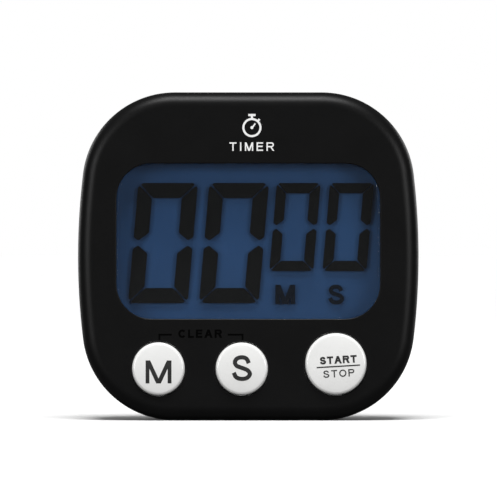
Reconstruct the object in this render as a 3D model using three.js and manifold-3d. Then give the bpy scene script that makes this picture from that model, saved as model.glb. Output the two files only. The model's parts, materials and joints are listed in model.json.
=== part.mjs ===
// Digital kitchen timer: a rounded-square case with a large liquid-crystal display, three push buttons, a
// fold-out stand, two magnets and a battery compartment, built as separate pieces in millimetres.
//
// Frame: +X to the right of the display, +Y from the display towards the back, +Z up. The origin is under
// the middle of the case. Most sizes below are a depth behind the front face, and an x and a height counted
// from the centre of the case; the helpers turn them into the frame.
import * as THREE from "three";
import { mergeVertices } from "three/addons/utils/BufferGeometryUtils.js";
import Module from "manifold-3d";

const wasm = await Module();
wasm.setup();

// ---------------------------------------------------------------- driving dimensions

const BODY = { width: 70, height: 67.4, depth: 20.2, corner: 19, side: 142, fillet: 3 };
const WALL = { front: 2, side: 1.8, back: 1.8 };
const PARTING = { depth: 11, gap: 0.2, tongue: 1.4, tongueInset: 2, tongueWall: 0.8 };
const WINDOW = { width: 54.1, height: 31.9, corner: 7.15, z: 3.1, chamfer: 0.4 };
const LENS = { recess: 0.4, gap: 0.2, rim: 1.6, rimFront: 2.05, back: 2.95 };
const LCD = { width: 56.6, bottom: -13.6, top: 19.6, ledgeTop: 22.4, front: 3, sheet: 0.2, glass: 0.7, film: 0.05 };
const HOLDER = { gap: 0.2, wall: 0.9, front: 3.05, back: 5.5 };
const BOARD = { front: 5.6, back: 6.6, hole: 1.1 };
const BUTTON = { proud: 1.2, crown: 0.3, rim: 0.6, gap: 0.25, flange: 0.75, flangeFront: 2.15, flangeBack: 2.85 };
const PRESS = { travel: 1, stemRadius: 2, stemEnd: 3.3, shellWall: 0.9, roof: 0.2 };
const KEY = { width: 1.4, reach: 0.9, gap: 0.3, post: 1, postEnd: 4.4 };
const DOME = { top: 3.4, roof: 3.95, base: 5.1, back: 5.55, topRadius: 2.4, footRadius: 3.8, baseRadius: 4.8 };
const PILL = { radius: 1.5, front: 4, back: 4.4 };
const BATTERY = { radius: 5.2, length: 44.5, nub: 1, nubRadius: 1.9, z: 16.9, depth: 13.1, left: -22.45 };
const BAY = { left: -25.7, right: 23.3, halfHeight: 5.4, floor: 7.7, wall: 1.2 };
const COVER = { halfWidth: 27, bottom: 9.5, top: 24.3, corner: 1.5, gap: 0.15, front: 18.8 };
const HOOK = { x: 15, width: 6, front: 17, back: 18.15, tip: 8, legTop: 10.95, swing: 3.8 };
const STAND = { halfWidth: 16.8, hingeZ: 4.6, bottom: -29.3, front: 18.4, gap: 0.4, floorGap: 0.3, notch: 4.5 };
const HINGE_PIN = { radius: 0.75, hole: 0.87, reach: 1.3, wall: 1.8 };
const MAGNET = { x: 24.5, z: -6, radius: 6, front: 17.85, proud: 0.2, gap: 0.1, cupWall: 1.2, cupFloor: 1.1 };
const CASE_SCREW = { seat: 14, headRadius: 2, head: 1.5, shank: 1, tip: 7.2, boss: 2.4, tube: 3.2, reach: 13.6 };
const BOARD_SCREW = { headRadius: 1.7, head: 1.1, shank: 0.8, tip: 3.4, boss: 1.9 };
const BUZZER = { z: -10, radius: 10, thickness: 0.2, front: 15.15, ceramic: 7, seat: 15.4, ringTop: 14.6 };
const WIRE_RADIUS = 0.45;
const SHEET_METAL = 0.3;

const ROUND_STEPS = 28;
const SMALL_STEPS = 12;
const ARC_STEPS = 5;
const FILLET_STEPS = 4;

const FRONT_Y = (BUTTON.proud - BODY.depth - MAGNET.proud) / 2;
const MIDDLE_Z = BODY.height / 2;
const FAR = 40;

// The centres of the corner arcs, and how far the side arcs turn before they meet a corner.
const CORNER_Z = BODY.height / 2 - BODY.corner;
const SIDE_X = BODY.width / 2 - BODY.side;
const SIDE_TURN = Math.asin(CORNER_Z / (BODY.side - BODY.corner));
const CORNER_X = SIDE_X + (BODY.side - BODY.corner) * Math.cos(SIDE_TURN);

const BUTTONS = {
  minutes: { x: -18.42, z: -23.04, radius: 5.4 },
  seconds: { x: -1.34, z: -23.02, radius: 5.35 },
  start_stop: { x: 17.95, z: -22.03, radius: 6.28 },
};

// The screws that hold the case together stand the same distance from the centre of each corner arc.
const CASE_SCREW_ANGLES = { bottom: -0.37, top: 1.24 };
const CASE_SCREWS = [
  caseScrewPlace(-1, -1, CASE_SCREW_ANGLES.bottom),
  caseScrewPlace(1, -1, CASE_SCREW_ANGLES.bottom),
  caseScrewPlace(-1, 1, CASE_SCREW_ANGLES.top),
  caseScrewPlace(1, 1, CASE_SCREW_ANGLES.top),
];
const BOARD_SCREWS = [
  { x: -9.9, z: -26 },
  { x: 8.3, z: -26 },
  { x: -11, z: 26.3 },
  { x: 11, z: 26.3 },
];

function caseScrewPlace(side, end, angle) {
  return {
    x: side * (CORNER_X + CASE_SCREW.reach * Math.cos(angle)),
    z: end * CORNER_Z + CASE_SCREW.reach * Math.sin(angle),
  };
}

// ---------------------------------------------------------------- materials

const material = (color, roughness, metalness = 0) =>
  new THREE.MeshStandardMaterial({ color, roughness, metalness });

const MATERIALS = {
  caseBlack: material(0x171717, 0.5),
  clear: material(0xdfe6ee, 0.05),
  buttonWhite: material(0xeceeec, 0.25),
  lcdBlue: material(0x2a3f5c, 0.35),
  lcdGlass: material(0xbfcad6, 0.05),
  holderGrey: material(0x2b2b2d, 0.6),
  contactPink: material(0xb98a86, 0.8),
  boardGreen: material(0x1f5a38, 0.45),
  epoxy: material(0x101010, 0.35),
  canSilver: material(0xc9cbce, 0.25, 1),
  sleeveBlue: material(0x1d2c52, 0.4),
  resistorBlack: material(0x222226, 0.5),
  siliconeGrey: material(0x9a9c9e, 0.7),
  carbon: material(0x0d0d0d, 0.8),
  nickel: material(0xb9b6ae, 0.3, 1),
  magnetGrey: material(0x8e9093, 0.35, 1),
  cellLabel: material(0x3c6f4f, 0.35, 0.4),
  brass: material(0xb9964a, 0.3, 1),
  ceramic: material(0xe6e2d6, 0.5),
  wireRed: material(0xa3221d, 0.5),
  wireBlack: material(0x141414, 0.5),
  screwSteel: material(0x9b9da0, 0.3, 1),
};

// ---------------------------------------------------------------- solids

// A closed geometry as a manifold solid; a profile may have been drawn either way round.
function solid(geometry) {
  const bare = new THREE.BufferGeometry();
  bare.setAttribute("position", geometry.getAttribute("position"));
  bare.setIndex(geometry.getIndex());
  const merged = mergeVertices(bare, 1e-4);
  const corners = Array.from(merged.index.array);
  const make = (list) =>
    new wasm.Manifold(
      new wasm.Mesh({
        numProp: 3,
        vertProperties: merged.getAttribute("position").array,
        triVerts: new Uint32Array(list),
      }),
    );
  const kept = [];
  for (let i = 0; i < corners.length; i += 3) {
    const [a, b, c] = corners.slice(i, i + 3);
    if (a !== b && b !== c && c !== a) kept.push(a, b, c);
  }
  const made = make(kept);
  return made.volume() > 0 ? made : make(kept.reverse());
}

// A plate with the given outline between two depths, with rounded or chamfered rims if bevel is given.
function plate(outline, front, back, bevel = 0, bevelSteps = FILLET_STEPS) {
  const geometry = new THREE.ExtrudeGeometry(outline, {
    depth: back - front - 2 * bevel,
    curveSegments: ARC_STEPS,
    bevelEnabled: bevel > 0,
    bevelThickness: bevel,
    bevelSize: bevel,
    bevelOffset: -bevel,
    bevelSegments: bevelSteps,
  });
  geometry.rotateX(Math.PI / 2);
  geometry.translate(0, FRONT_Y + back - bevel, MIDDLE_Z);
  return solid(geometry);
}

// A box between two x, two depths and two heights.
function block([left, right], [front, back], [bottom, top]) {
  const geometry = new THREE.BoxGeometry(right - left, back - front, top - bottom);
  geometry.translate((left + right) / 2, FRONT_Y + (front + back) / 2, MIDDLE_Z + (bottom + top) / 2);
  return solid(geometry);
}

// A piece turned about a front-to-back axis through x, z, from (radius, depth) pairs.
function turned(profile, x, z, steps = ROUND_STEPS) {
  const points = profile.map(([radius, depth]) => new THREE.Vector2(radius, depth));
  const geometry = new THREE.LatheGeometry(points, steps);
  geometry.translate(x, FRONT_Y, MIDDLE_Z + z);
  return solid(geometry);
}

// A plain disc or cylinder on a front-to-back axis.
function disc(radius, front, back, x, z, steps = ROUND_STEPS) {
  return turned([[0, front], [radius, front], [radius, back], [0, back]], x, z, steps);
}

// A piece turned about a left-to-right axis, from (radius, x) pairs.
function turnedAlongX(profile, depth, z, steps = ROUND_STEPS) {
  const points = profile.map(([radius, x]) => new THREE.Vector2(radius, x));
  const geometry = new THREE.LatheGeometry(points, steps);
  geometry.rotateZ(-Math.PI / 2);
  geometry.translate(0, FRONT_Y + depth, MIDDLE_Z + z);
  return solid(geometry);
}

// A round wire along a smooth curve through the given (x, depth, z) places.
function wire(places, radius, steps) {
  const points = places.map(([x, depth, z]) => new THREE.Vector3(x, FRONT_Y + depth, MIDDLE_Z + z));
  const section = new THREE.Shape();
  section.absarc(0, 0, radius, 0, 2 * Math.PI);
  const geometry = new THREE.ExtrudeGeometry(section, {
    steps,
    curveSegments: 4,
    extrudePath: new THREE.CatmullRomCurve3(points),
  });
  return solid(geometry);
}

const joined = (solids) => solids.reduce((all, next) => all.add(next));
const cut = (base, tools) => tools.reduce((rest, tool) => rest.subtract(tool), base);

// The outline of the case, moved inwards by inset.
function bodyOutline(inset = 0) {
  const corner = BODY.corner - inset;
  const side = BODY.side - inset;
  const quarter = Math.PI / 2;
  const shape = new THREE.Shape();
  shape.absarc(CORNER_X, -CORNER_Z, corner, -quarter, -SIDE_TURN);
  shape.absarc(SIDE_X, 0, side, -SIDE_TURN, SIDE_TURN);
  shape.absarc(CORNER_X, CORNER_Z, corner, SIDE_TURN, quarter);
  shape.absarc(-CORNER_X, CORNER_Z, corner, quarter, 2 * quarter - SIDE_TURN);
  shape.absarc(-SIDE_X, 0, side, 2 * quarter - SIDE_TURN, 2 * quarter + SIDE_TURN);
  shape.absarc(-CORNER_X, -CORNER_Z, corner, 2 * quarter + SIDE_TURN, 3 * quarter);
  shape.closePath();
  return shape;
}

// A rectangle with round corners, between two x and two heights.
function roundedRectangle([left, right], [bottom, top], radius) {
  const quarter = Math.PI / 2;
  const shape = new THREE.Shape();
  shape.absarc(right - radius, bottom + radius, radius, -quarter, 0);
  shape.absarc(right - radius, top - radius, radius, 0, quarter);
  shape.absarc(left + radius, top - radius, radius, quarter, 2 * quarter);
  shape.absarc(left + radius, bottom + radius, radius, 2 * quarter, 3 * quarter);
  shape.closePath();
  return shape;
}

// The outline of the display opening, grown by margin.
function windowOutline(margin = 0) {
  const halfWidth = WINDOW.width / 2 + margin;
  const halfHeight = WINDOW.height / 2 + margin;
  return roundedRectangle(
    [-halfWidth, halfWidth],
    [WINDOW.z - halfHeight, WINDOW.z + halfHeight],
    WINDOW.corner + margin,
  );
}

// ---------------------------------------------------------------- front of the case

function buttonHole({ x, z, radius }) {
  const hole = radius + BUTTON.gap;
  const mouth = hole + WINDOW.chamfer;
  return turned(
    [[0, -1], [mouth, -1], [mouth, 0], [hole, WINDOW.chamfer], [hole, WALL.front + 1], [0, WALL.front + 1]],
    x,
    z,
  );
}

// Two posts behind the front wall that hold a button's key, so that the button can't turn.
function keyPosts({ x, z, radius }) {
  const top = z - radius - BUTTON.flange - KEY.gap;
  const inner = KEY.width / 2 + KEY.gap;
  return [-1, 1].map((side) => {
    const edges = [x + side * inner, x + side * (inner + KEY.post)].sort((a, b) => a - b);
    return block(edges, [WALL.front - 0.5, KEY.postEnd], [top - KEY.reach, top]);
  });
}

function frontHousing() {
  const block0 = plate(bodyOutline(), 0, BODY.depth + BODY.fillet, BODY.fillet);
  const frontHalf = block0.intersect(block([-FAR, FAR], [-1, PARTING.depth], [-FAR, FAR]));
  const cavity = plate(bodyOutline(WALL.side), WALL.front, BODY.depth, 1, 1);
  const caseBosses = CASE_SCREWS.map(({ x, z }) =>
    disc(CASE_SCREW.boss, WALL.front - 0.5, PARTING.depth - 0.3, x, z, SMALL_STEPS),
  );
  const boardBosses = BOARD_SCREWS.map(({ x, z }) =>
    disc(BOARD_SCREW.boss, WALL.front - 0.5, BOARD.front - 0.05, x, z, SMALL_STEPS),
  );
  const buttons = Object.values(BUTTONS);
  const shell = joined([
    frontHalf.subtract(cavity),
    ...caseBosses,
    ...boardBosses,
    ...buttons.flatMap(keyPosts),
  ]);
  return cut(shell, [
    plate(windowOutline(), -1, WALL.front + 1),
    plate(windowOutline(WINDOW.chamfer), -2, WINDOW.chamfer, WINDOW.chamfer, 1),
    ...buttons.map(buttonHole),
    ...CASE_SCREWS.map(({ x, z }) =>
      disc(CASE_SCREW.shank + 0.1, CASE_SCREW.tip - 0.4, PARTING.depth, x, z, SMALL_STEPS),
    ),
    ...BOARD_SCREWS.map(({ x, z }) =>
      disc(BOARD_SCREW.shank + 0.1, BOARD_SCREW.tip - 0.4, BOARD.front, x, z, SMALL_STEPS),
    ),
  ]);
}

// The raised middle of the lens fills the opening, and its rim lies behind the front wall.
function displayLens() {
  const middle = plate(windowOutline(-LENS.gap), LENS.recess, LENS.back, 0.15, 1);
  return middle.add(plate(windowOutline(LENS.rim), LENS.rimFront, LENS.back));
}

// ---------------------------------------------------------------- buttons and their contacts

// A thin-walled cap with a crowned top and rounded rim, a flange that stops it behind the front wall, and a
// stem in the middle that presses the rubber dome.
function button({ x, z, radius }) {
  const { proud, crown, rim, flange, flangeFront, flangeBack } = BUTTON;
  const { stemRadius, stemEnd, shellWall, roof } = PRESS;
  const rimCentre = crown - proud + rim;
  const roundedRim = [];
  for (let step = 0; step <= FILLET_STEPS; step += 1) {
    const angle = (step / FILLET_STEPS) * (Math.PI / 2);
    roundedRim.push([radius - rim + rim * Math.sin(angle), rimCentre - rim * Math.cos(angle)]);
  }
  const cap = turned(
    [
      [0, -proud],
      [radius * 0.55, -proud + crown * 0.3],
      ...roundedRim,
      [radius, flangeFront],
      [radius + flange, flangeFront],
      [radius + flange, flangeBack],
      [radius - shellWall, flangeBack],
      [radius - shellWall, roof],
      [stemRadius, roof],
      [stemRadius, stemEnd],
      [0, stemEnd],
    ],
    x,
    z,
  );
  const edge = z - radius - flange;
  const key = block(
    [x - KEY.width / 2, x + KEY.width / 2],
    [flangeFront, flangeBack],
    [edge - KEY.reach, edge + shellWall],
  );
  return cap.add(key);
}

function rubberDome({ x, z }) {
  const { top, roof, base, back, topRadius, footRadius, baseRadius } = DOME;
  const wall = 0.4;
  return turned(
    [
      [0, top],
      [topRadius, top],
      [footRadius, base],
      [baseRadius, base],
      [baseRadius, back],
      [footRadius - wall, back],
      [footRadius - wall, base],
      [topRadius - wall, roof],
      [0, roof],
    ],
    x,
    z,
    SMALL_STEPS,
  );
}

const carbonPill = ({ x, z }) => disc(PILL.radius, PILL.front, PILL.back, x, z, SMALL_STEPS);

// ---------------------------------------------------------------- display

// The display's sheets, front to back. The front glass is taller, and its bare top edge carries the contacts.
function displaySheet(front, thickness, margin, top = LCD.top) {
  const half = LCD.width / 2 - margin;
  return block([-half, half], [front, front + thickness], [LCD.bottom + margin, top - margin]);
}

const FRONT_GLASS_DEPTH = LCD.front + LCD.sheet + LCD.film;
const REAR_GLASS_DEPTH = FRONT_GLASS_DEPTH + LCD.glass + LCD.film;
const REAR_SHEET_DEPTH = REAR_GLASS_DEPTH + LCD.glass + LCD.film;

const zebraStrip = () =>
  block([-26, 26], [FRONT_GLASS_DEPTH + LCD.glass + LCD.film, BOARD.front - 0.05], [20.2, 22.2]);

function lcdHolder() {
  const inner = LCD.width / 2 + HOLDER.gap;
  const outer = inner + HOLDER.wall;
  const bottom = LCD.bottom - HOLDER.gap;
  const top = LCD.ledgeTop + HOLDER.gap;
  const frame = plate(
    roundedRectangle([-outer, outer], [bottom - HOLDER.wall, top + HOLDER.wall], 1.2),
    HOLDER.front,
    HOLDER.back,
  );
  return frame.subtract(block([-inner, inner], [0, BOARD.front], [bottom, top]));
}

// ---------------------------------------------------------------- circuit board

// The board is wide behind the display, and narrower beside the lower case screws and above the display.
function boardOutline() {
  const wide = 29.2;
  const narrow = 25;
  const tab = 15.5;
  const half = [
    [19.5, -29.4],
    [narrow, -24],
    [narrow, -16.6],
    [wide, -16.6],
    [wide, 22],
    [27, 24.4],
    [tab, 24.4],
    [tab, 28.2],
  ];
  const mirrored = half.map(([x, z]) => [-x, z]).reverse();
  return new THREE.Shape([...half, ...mirrored].map(([x, z]) => new THREE.Vector2(x, z)));
}

function circuitBoard() {
  const holes = BOARD_SCREWS.map(({ x, z }) => disc(BOARD.hole, 0, BODY.depth, x, z, SMALL_STEPS));
  return cut(plate(boardOutline(), BOARD.front, BOARD.back), holes);
}

// The parts on the back of the board stand this far from it.
const ON_BOARD = BOARD.back + 0.05;

function chipBlob() {
  return turned([[0, ON_BOARD], [4.6, ON_BOARD], [4, 7.4], [2.4, 8], [0, 8.2]], 8, -3, 20);
}

function crystalCan() {
  const geometry = new THREE.CylinderGeometry(1, 1, 6, SMALL_STEPS);
  geometry.rotateX(Math.PI / 2);
  geometry.translate(-9, FRONT_Y + ON_BOARD + 1.02, MIDDLE_Z - 4);
  return solid(geometry);
}

function capacitorCan() {
  const geometry = new THREE.CylinderGeometry(2, 2, 5.5, SMALL_STEPS);
  geometry.rotateX(Math.PI / 2);
  geometry.translate(16.5, FRONT_Y + ON_BOARD + 2.02, MIDDLE_Z - 6);
  return solid(geometry);
}

const chipResistor = (x, z) => block([x - 1, x + 1], [ON_BOARD, ON_BOARD + 0.6], [z - 0.6, z + 0.6]);

// ---------------------------------------------------------------- screws

// A pan-head screw driven from the back, with a cross recess; its head rests on seat.
function screw({ x, z }, { headRadius, head, shank, tip }, seat) {
  const top = seat + head;
  const body = turned(
    [
      [0, tip],
      [shank * 0.4, tip],
      [shank, tip + 1],
      [shank, seat],
      [headRadius, seat],
      [headRadius, seat + head * 0.45],
      [headRadius * 0.7, top - 0.12],
      [0, top],
    ],
    x,
    z,
    SMALL_STEPS,
  );
  const long = headRadius * 0.55;
  const short = headRadius * 0.15;
  const recess = [top - head * 0.6, top + 1];
  const slots = [
    block([x - long, x + long], recess, [z - short, z + short]),
    block([x - short, x + short], recess, [z - long, z + long]),
  ];
  return cut(body, slots);
}

// ---------------------------------------------------------------- back of the case

const COVER_HINGE = { depth: BODY.depth, z: COVER.bottom + COVER.gap };
const BAY_BOTTOM = BATTERY.z - BAY.halfHeight;
const BAY_TOP = BATTERY.z + BAY.halfHeight;
const STAND_TOP = STAND.hingeZ + (BODY.depth - STAND.front) / 2;
const STAND_AXIS = (BODY.depth + STAND.front) / 2;
const RECESS = {
  half: STAND.halfWidth + STAND.gap,
  bottom: STAND.bottom - STAND.gap,
  top: STAND_TOP + STAND.gap,
  floor: STAND.front - STAND.floorGap,
};

// The lip that slides inside the front shell, joined to the back shell at its root.
function tongue() {
  const { depth, gap, tongueInset, tongueWall } = PARTING;
  const front = depth - PARTING.tongue;
  const inner = tongueInset + tongueWall;
  const lip = plate(bodyOutline(tongueInset), front, depth + gap);
  const root = plate(bodyOutline(WALL.side - 0.2), depth + gap, depth + gap + 1.5);
  return lip.add(root).subtract(plate(bodyOutline(inner), 0, BODY.depth));
}

// A ring of seven sound holes in front of the buzzer.
function soundHoles() {
  const pitch = 3.6;
  const holes = [disc(0.8, BUZZER.seat, BODY.depth, 0, BUZZER.z, 12)];
  for (let turn = 0; turn < 6; turn += 1) {
    const angle = (turn * Math.PI) / 3;
    const x = pitch * Math.cos(angle);
    const z = BUZZER.z + pitch * Math.sin(angle);
    holes.push(disc(0.8, BUZZER.seat, BODY.depth, x, z, 12));
  }
  return holes;
}

function buzzerRing() {
  const outer = BUZZER.radius + 1.2;
  const bore = BUZZER.radius + 0.2;
  const ledge = BUZZER.radius - 1;
  const { seat, ringTop, z } = BUZZER;
  const root = RECESS.floor - 0.6;
  return turned(
    [[ledge, seat], [bore, seat], [bore, ringTop], [outer, ringTop], [outer, root], [ledge, root], [ledge, seat]],
    0,
    z,
  );
}

function rearHousing() {
  const whole = plate(bodyOutline(), -BODY.fillet, BODY.depth, BODY.fillet);
  const start = PARTING.depth + PARTING.gap;
  const back = BODY.depth - WALL.back;
  const inWall = BODY.depth - 0.5;
  const rearHalf = whole.intersect(block([-FAR, FAR], [start, FAR], [-FAR, FAR]));
  const cavity = plate(bodyOutline(WALL.side), 0, back, 1, 1);
  const bay = block(
    [BAY.left - BAY.wall, BAY.right + BAY.wall],
    [BAY.floor - 0.8, inWall],
    [BAY_BOTTOM - BAY.wall, BAY_TOP + BAY.wall],
  );
  const recessTub = block(
    [-RECESS.half - HINGE_PIN.wall, RECESS.half + HINGE_PIN.wall],
    [RECESS.floor - 1.2, inWall],
    [RECESS.bottom - 1.2, RECESS.top + 1.2],
  );
  const magnetCups = [-1, 1].map((side) =>
    disc(
      MAGNET.radius + MAGNET.cupWall,
      MAGNET.front - MAGNET.cupFloor,
      inWall,
      side * MAGNET.x,
      MAGNET.z,
    ),
  );
  const screwTubes = CASE_SCREWS.map(({ x, z }) =>
    disc(CASE_SCREW.tube, start, inWall, x, z, SMALL_STEPS),
  );
  const shell = joined([
    rearHalf.subtract(cavity),
    tongue(),
    bay,
    recessTub,
    ...magnetCups,
    ...screwTubes,
    buzzerRing(),
  ]);
  return cut(shell, [
    ...bayOpenings(),
    ...standOpenings(),
    ...soundHoles(),
    ...[-1, 1].map((side) =>
      disc(MAGNET.radius + MAGNET.gap, MAGNET.front - 0.05, FAR, side * MAGNET.x, MAGNET.z),
    ),
    ...CASE_SCREWS.map(({ x, z }) =>
      turned(
        [
          [0, start - 1],
          [CASE_SCREW.shank + 0.25, start - 1],
          [CASE_SCREW.shank + 0.25, CASE_SCREW.seat - 0.05],
          [CASE_SCREW.headRadius + 0.2, CASE_SCREW.seat - 0.05],
          [CASE_SCREW.headRadius + 0.2, FAR],
          [0, FAR],
        ],
        x,
        z,
        SMALL_STEPS,
      ),
    ),
  ]);
}

// The battery bay, the seat of its cover, the slots for the cover's hooks, and those for the contacts' tails.
function bayOpenings() {
  const seat = plate(coverOutline(0), COVER.front - 0.05, FAR);
  const bay = block([BAY.left, BAY.right], [BAY.floor, FAR], [BAY_BOTTOM, BAY_TOP]);
  const hookSlots = [-1, 1].map((side) =>
    block(
      [side * HOOK.x - HOOK.width / 2 - 0.4, side * HOOK.x + HOOK.width / 2 + 0.4],
      [BODY.depth - HOOK.swing, COVER.front],
      [COVER.bottom, BAY_BOTTOM + 1],
    ),
  );
  const fingerScoop = disc(4, COVER.front + 0.4, FAR, 0, COVER.top + 1, 20);
  return [seat, bay, ...hookSlots, ...contactSlots(), fingerScoop];
}

function standOpenings() {
  const recess = block([-RECESS.half, RECESS.half], [RECESS.floor, FAR], [RECESS.bottom, RECESS.top]);
  const reach = RECESS.half + HINGE_PIN.reach;
  const pinHole = turnedAlongX(
    [[0, -reach], [HINGE_PIN.hole, -reach], [HINGE_PIN.hole, reach], [0, reach]],
    STAND_AXIS,
    STAND.hingeZ,
    24,
  );
  return [recess, pinHole];
}

function coverOutline(gap) {
  return roundedRectangle(
    [-COVER.halfWidth + gap, COVER.halfWidth - gap],
    [COVER.bottom + gap, COVER.top - gap],
    COVER.corner - gap / 2,
  );
}

// The battery cover tips out about its lower outer edge, where two hooks reach behind the back wall.
function batteryCover() {
  const panel = plate(coverOutline(COVER.gap), COVER.front, BODY.depth);
  const hooks = [-1, 1].flatMap((side) => {
    const width = [side * HOOK.x - HOOK.width / 2, side * HOOK.x + HOOK.width / 2];
    const heel = COVER_HINGE.z + 0.1;
    return [
      block(width, [HOOK.front, COVER.front + 0.5], [heel, HOOK.legTop]),
      block(width, [HOOK.front, HOOK.back], [HOOK.tip, HOOK.legTop]),
    ];
  });
  const tongueSlots = [-1, 1].map((side) =>
    block(
      [side * 4.8 - 0.3, side * 4.8 + 0.3],
      [COVER.front - 1, FAR],
      [COVER.top - 5.5, COVER.top + 1],
    ),
  );
  const grips = [0, 1, 2].map((row) =>
    block([-3.4, 3.4], [BODY.depth - 0.35, FAR], [COVER.top - 2 - 1.2 * row, COVER.top - 1.5 - 1.2 * row]),
  );
  return cut(joined([panel, ...hooks]), [...tongueSlots, ...grips]);
}

// The stand is a flap on two stub pins, with a notch in its free edge for a fingertip.
function kickstand() {
  const outline = roundedRectangle(
    [-STAND.halfWidth, STAND.halfWidth],
    [STAND.bottom, STAND_TOP],
    0.6,
  );
  const flap = plate(outline, STAND.front, BODY.depth, 0.25, 1);
  const reach = STAND.halfWidth + HINGE_PIN.reach;
  const pins = [-1, 1].map((side) => {
    const ends = [side * (STAND.halfWidth - 1), side * reach].sort((a, b) => a - b);
    const profile = [[0, ends[0]], [HINGE_PIN.radius, ends[0]], [HINGE_PIN.radius, ends[1]], [0, ends[1]]];
    return turnedAlongX(profile, STAND_AXIS, STAND.hingeZ, 24);
  });
  const notch = disc(STAND.notch, STAND.front - 1, FAR, 0, STAND.bottom, 24);
  return joined([flap, ...pins]).subtract(notch);
}

function magnet(side) {
  const back = BODY.depth + MAGNET.proud;
  const chamfer = 0.3;
  return turned(
    [
      [0, MAGNET.front],
      [MAGNET.radius, MAGNET.front],
      [MAGNET.radius, back - chamfer],
      [MAGNET.radius - chamfer, back],
      [0, back],
    ],
    side * MAGNET.x,
    MAGNET.z,
  );
}

// ---------------------------------------------------------------- battery and contacts

const CELL_RIGHT = BATTERY.left + BATTERY.length;
const CONTACT = { tall: 4.5, front: 8.8, back: 17.4, tailFront: 9.2, tailBack: 11.2, tailEnd: 8.6 };
const NEGATIVE_PLATE = [BAY.left + 0.1, BAY.left + 0.1 + SHEET_METAL];
const POSITIVE_PLATE = [BAY.right - 0.7, BAY.right - 0.7 + SHEET_METAL];

function batteryCell() {
  const { left, radius, nub, nubRadius, depth, z } = BATTERY;
  const shoulder = CELL_RIGHT - nub;
  return turnedAlongX(
    [
      [0, left],
      [radius - 0.4, left],
      [radius, left + 0.4],
      [radius, shoulder - 0.4],
      [radius - 0.4, shoulder],
      [nubRadius, shoulder],
      [nubRadius, CELL_RIGHT],
      [0, CELL_RIGHT],
    ],
    depth,
    z,
    24,
  );
}

// A sprung-metal plate with a tail that leaves the bay through its lower wall.
function contactPlate(thickness) {
  const face = block(
    thickness,
    [CONTACT.front, CONTACT.back],
    [BATTERY.z - CONTACT.tall, BATTERY.z + CONTACT.tall],
  );
  const tail = block(
    thickness,
    [CONTACT.tailFront, CONTACT.tailBack],
    [CONTACT.tailEnd, BATTERY.z],
  );
  return face.add(tail);
}

function positiveContact() {
  const [face] = POSITIVE_PLATE;
  const dimple = turnedAlongX(
    [[0, CELL_RIGHT + 0.1], [1, CELL_RIGHT + 0.15], [2, face + 0.1], [0, face + 0.1]],
    BATTERY.depth,
    BATTERY.z,
    SMALL_STEPS,
  );
  return contactPlate(POSITIVE_PLATE).add(dimple);
}

function contactSlots() {
  return [NEGATIVE_PLATE, POSITIVE_PLATE].map(([left, right]) =>
    block(
      [left - 0.3, right + 0.3],
      [CONTACT.tailFront - 0.3, CONTACT.tailBack + 0.3],
      [BAY_BOTTOM - BAY.wall - 1, BAY_BOTTOM + 1],
    ),
  );
}

// The negative spring: a helix that narrows towards the cell.
function batterySpring() {
  const turns = 3;
  const wireRadius = 0.35;
  const start = NEGATIVE_PLATE[1] + wireRadius + 0.05;
  const end = BATTERY.left - wireRadius - 0.05;
  const places = [];
  const stepsPerTurn = 10;
  for (let step = 0; step <= turns * stepsPerTurn; step += 1) {
    const along = step / (turns * stepsPerTurn);
    const angle = 2 * Math.PI * turns * along;
    const radius = 3.8 - 1.5 * along;
    places.push([
      start + (end - start) * along,
      BATTERY.depth + radius * Math.cos(angle),
      BATTERY.z + radius * Math.sin(angle),
    ]);
  }
  return wire(places, wireRadius, turns * stepsPerTurn);
}

// ---------------------------------------------------------------- buzzer and wires

const CERAMIC_FRONT = BUZZER.front - BUZZER.thickness - 0.05;

const WIRES = {
  battery_wire_black: [[-25.45, 10.2, 8], [-25, 9.6, 5.5], [-22.5, 7.9, 3.5], [-20, 7.5, 2], [-19.5, 7, 1]],
  battery_wire_red: [[22.75, 10.2, 8], [22.3, 9.6, 5.5], [20, 7.9, 4], [17.5, 7.5, 3.5], [16.8, 7, 2.8]],
  buzzer_wire_black: [[-7.5, 14.3, -12], [-8.6, 12.4, -13], [-7.5, 9, -14.5], [-6, 7.5, -14.5], [-5.4, 7, -14]],
  buzzer_wire_red: [[3, 14.3, -12], [4.4, 12.4, -13], [4.8, 9, -14.5], [4, 7.5, -15], [3.4, 7, -14.6]],
};

// ---------------------------------------------------------------- the assembly

const timer = new THREE.Group();
timer.name = "kitchen_timer";

// A named mesh of one solid, added to the group that it belongs to.
function add(group, name, shape, finish) {
  const { numProp, vertProperties, triVerts } = shape.getMesh();
  const geometry = new THREE.BufferGeometry();
  geometry.setAttribute("position", new THREE.BufferAttribute(new Float32Array(vertProperties), numProp));
  geometry.setIndex(new THREE.BufferAttribute(new Uint32Array(triVerts), 1));
  geometry.computeVertexNormals();
  const mesh = new THREE.Mesh(geometry, finish);
  mesh.name = name;
  group.add(mesh);
}

function subassembly(name) {
  const group = new THREE.Group();
  group.name = name;
  timer.add(group);
  return group;
}

const shells = subassembly("case");
add(shells, "front_housing", frontHousing(), MATERIALS.caseBlack);
add(shells, "rear_housing", rearHousing(), MATERIALS.caseBlack);
add(shells, "battery_cover", batteryCover(), MATERIALS.caseBlack);
add(shells, "kickstand", kickstand(), MATERIALS.caseBlack);
add(shells, "display_lens", displayLens(), MATERIALS.clear);
add(shells, "magnet_left", magnet(-1), MATERIALS.magnetGrey);
add(shells, "magnet_right", magnet(1), MATERIALS.magnetGrey);
CASE_SCREWS.forEach((place, index) => {
  const shape = screw(place, CASE_SCREW, CASE_SCREW.seat);
  add(shells, `housing_screw_${index + 1}`, shape, MATERIALS.screwSteel);
});

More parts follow.
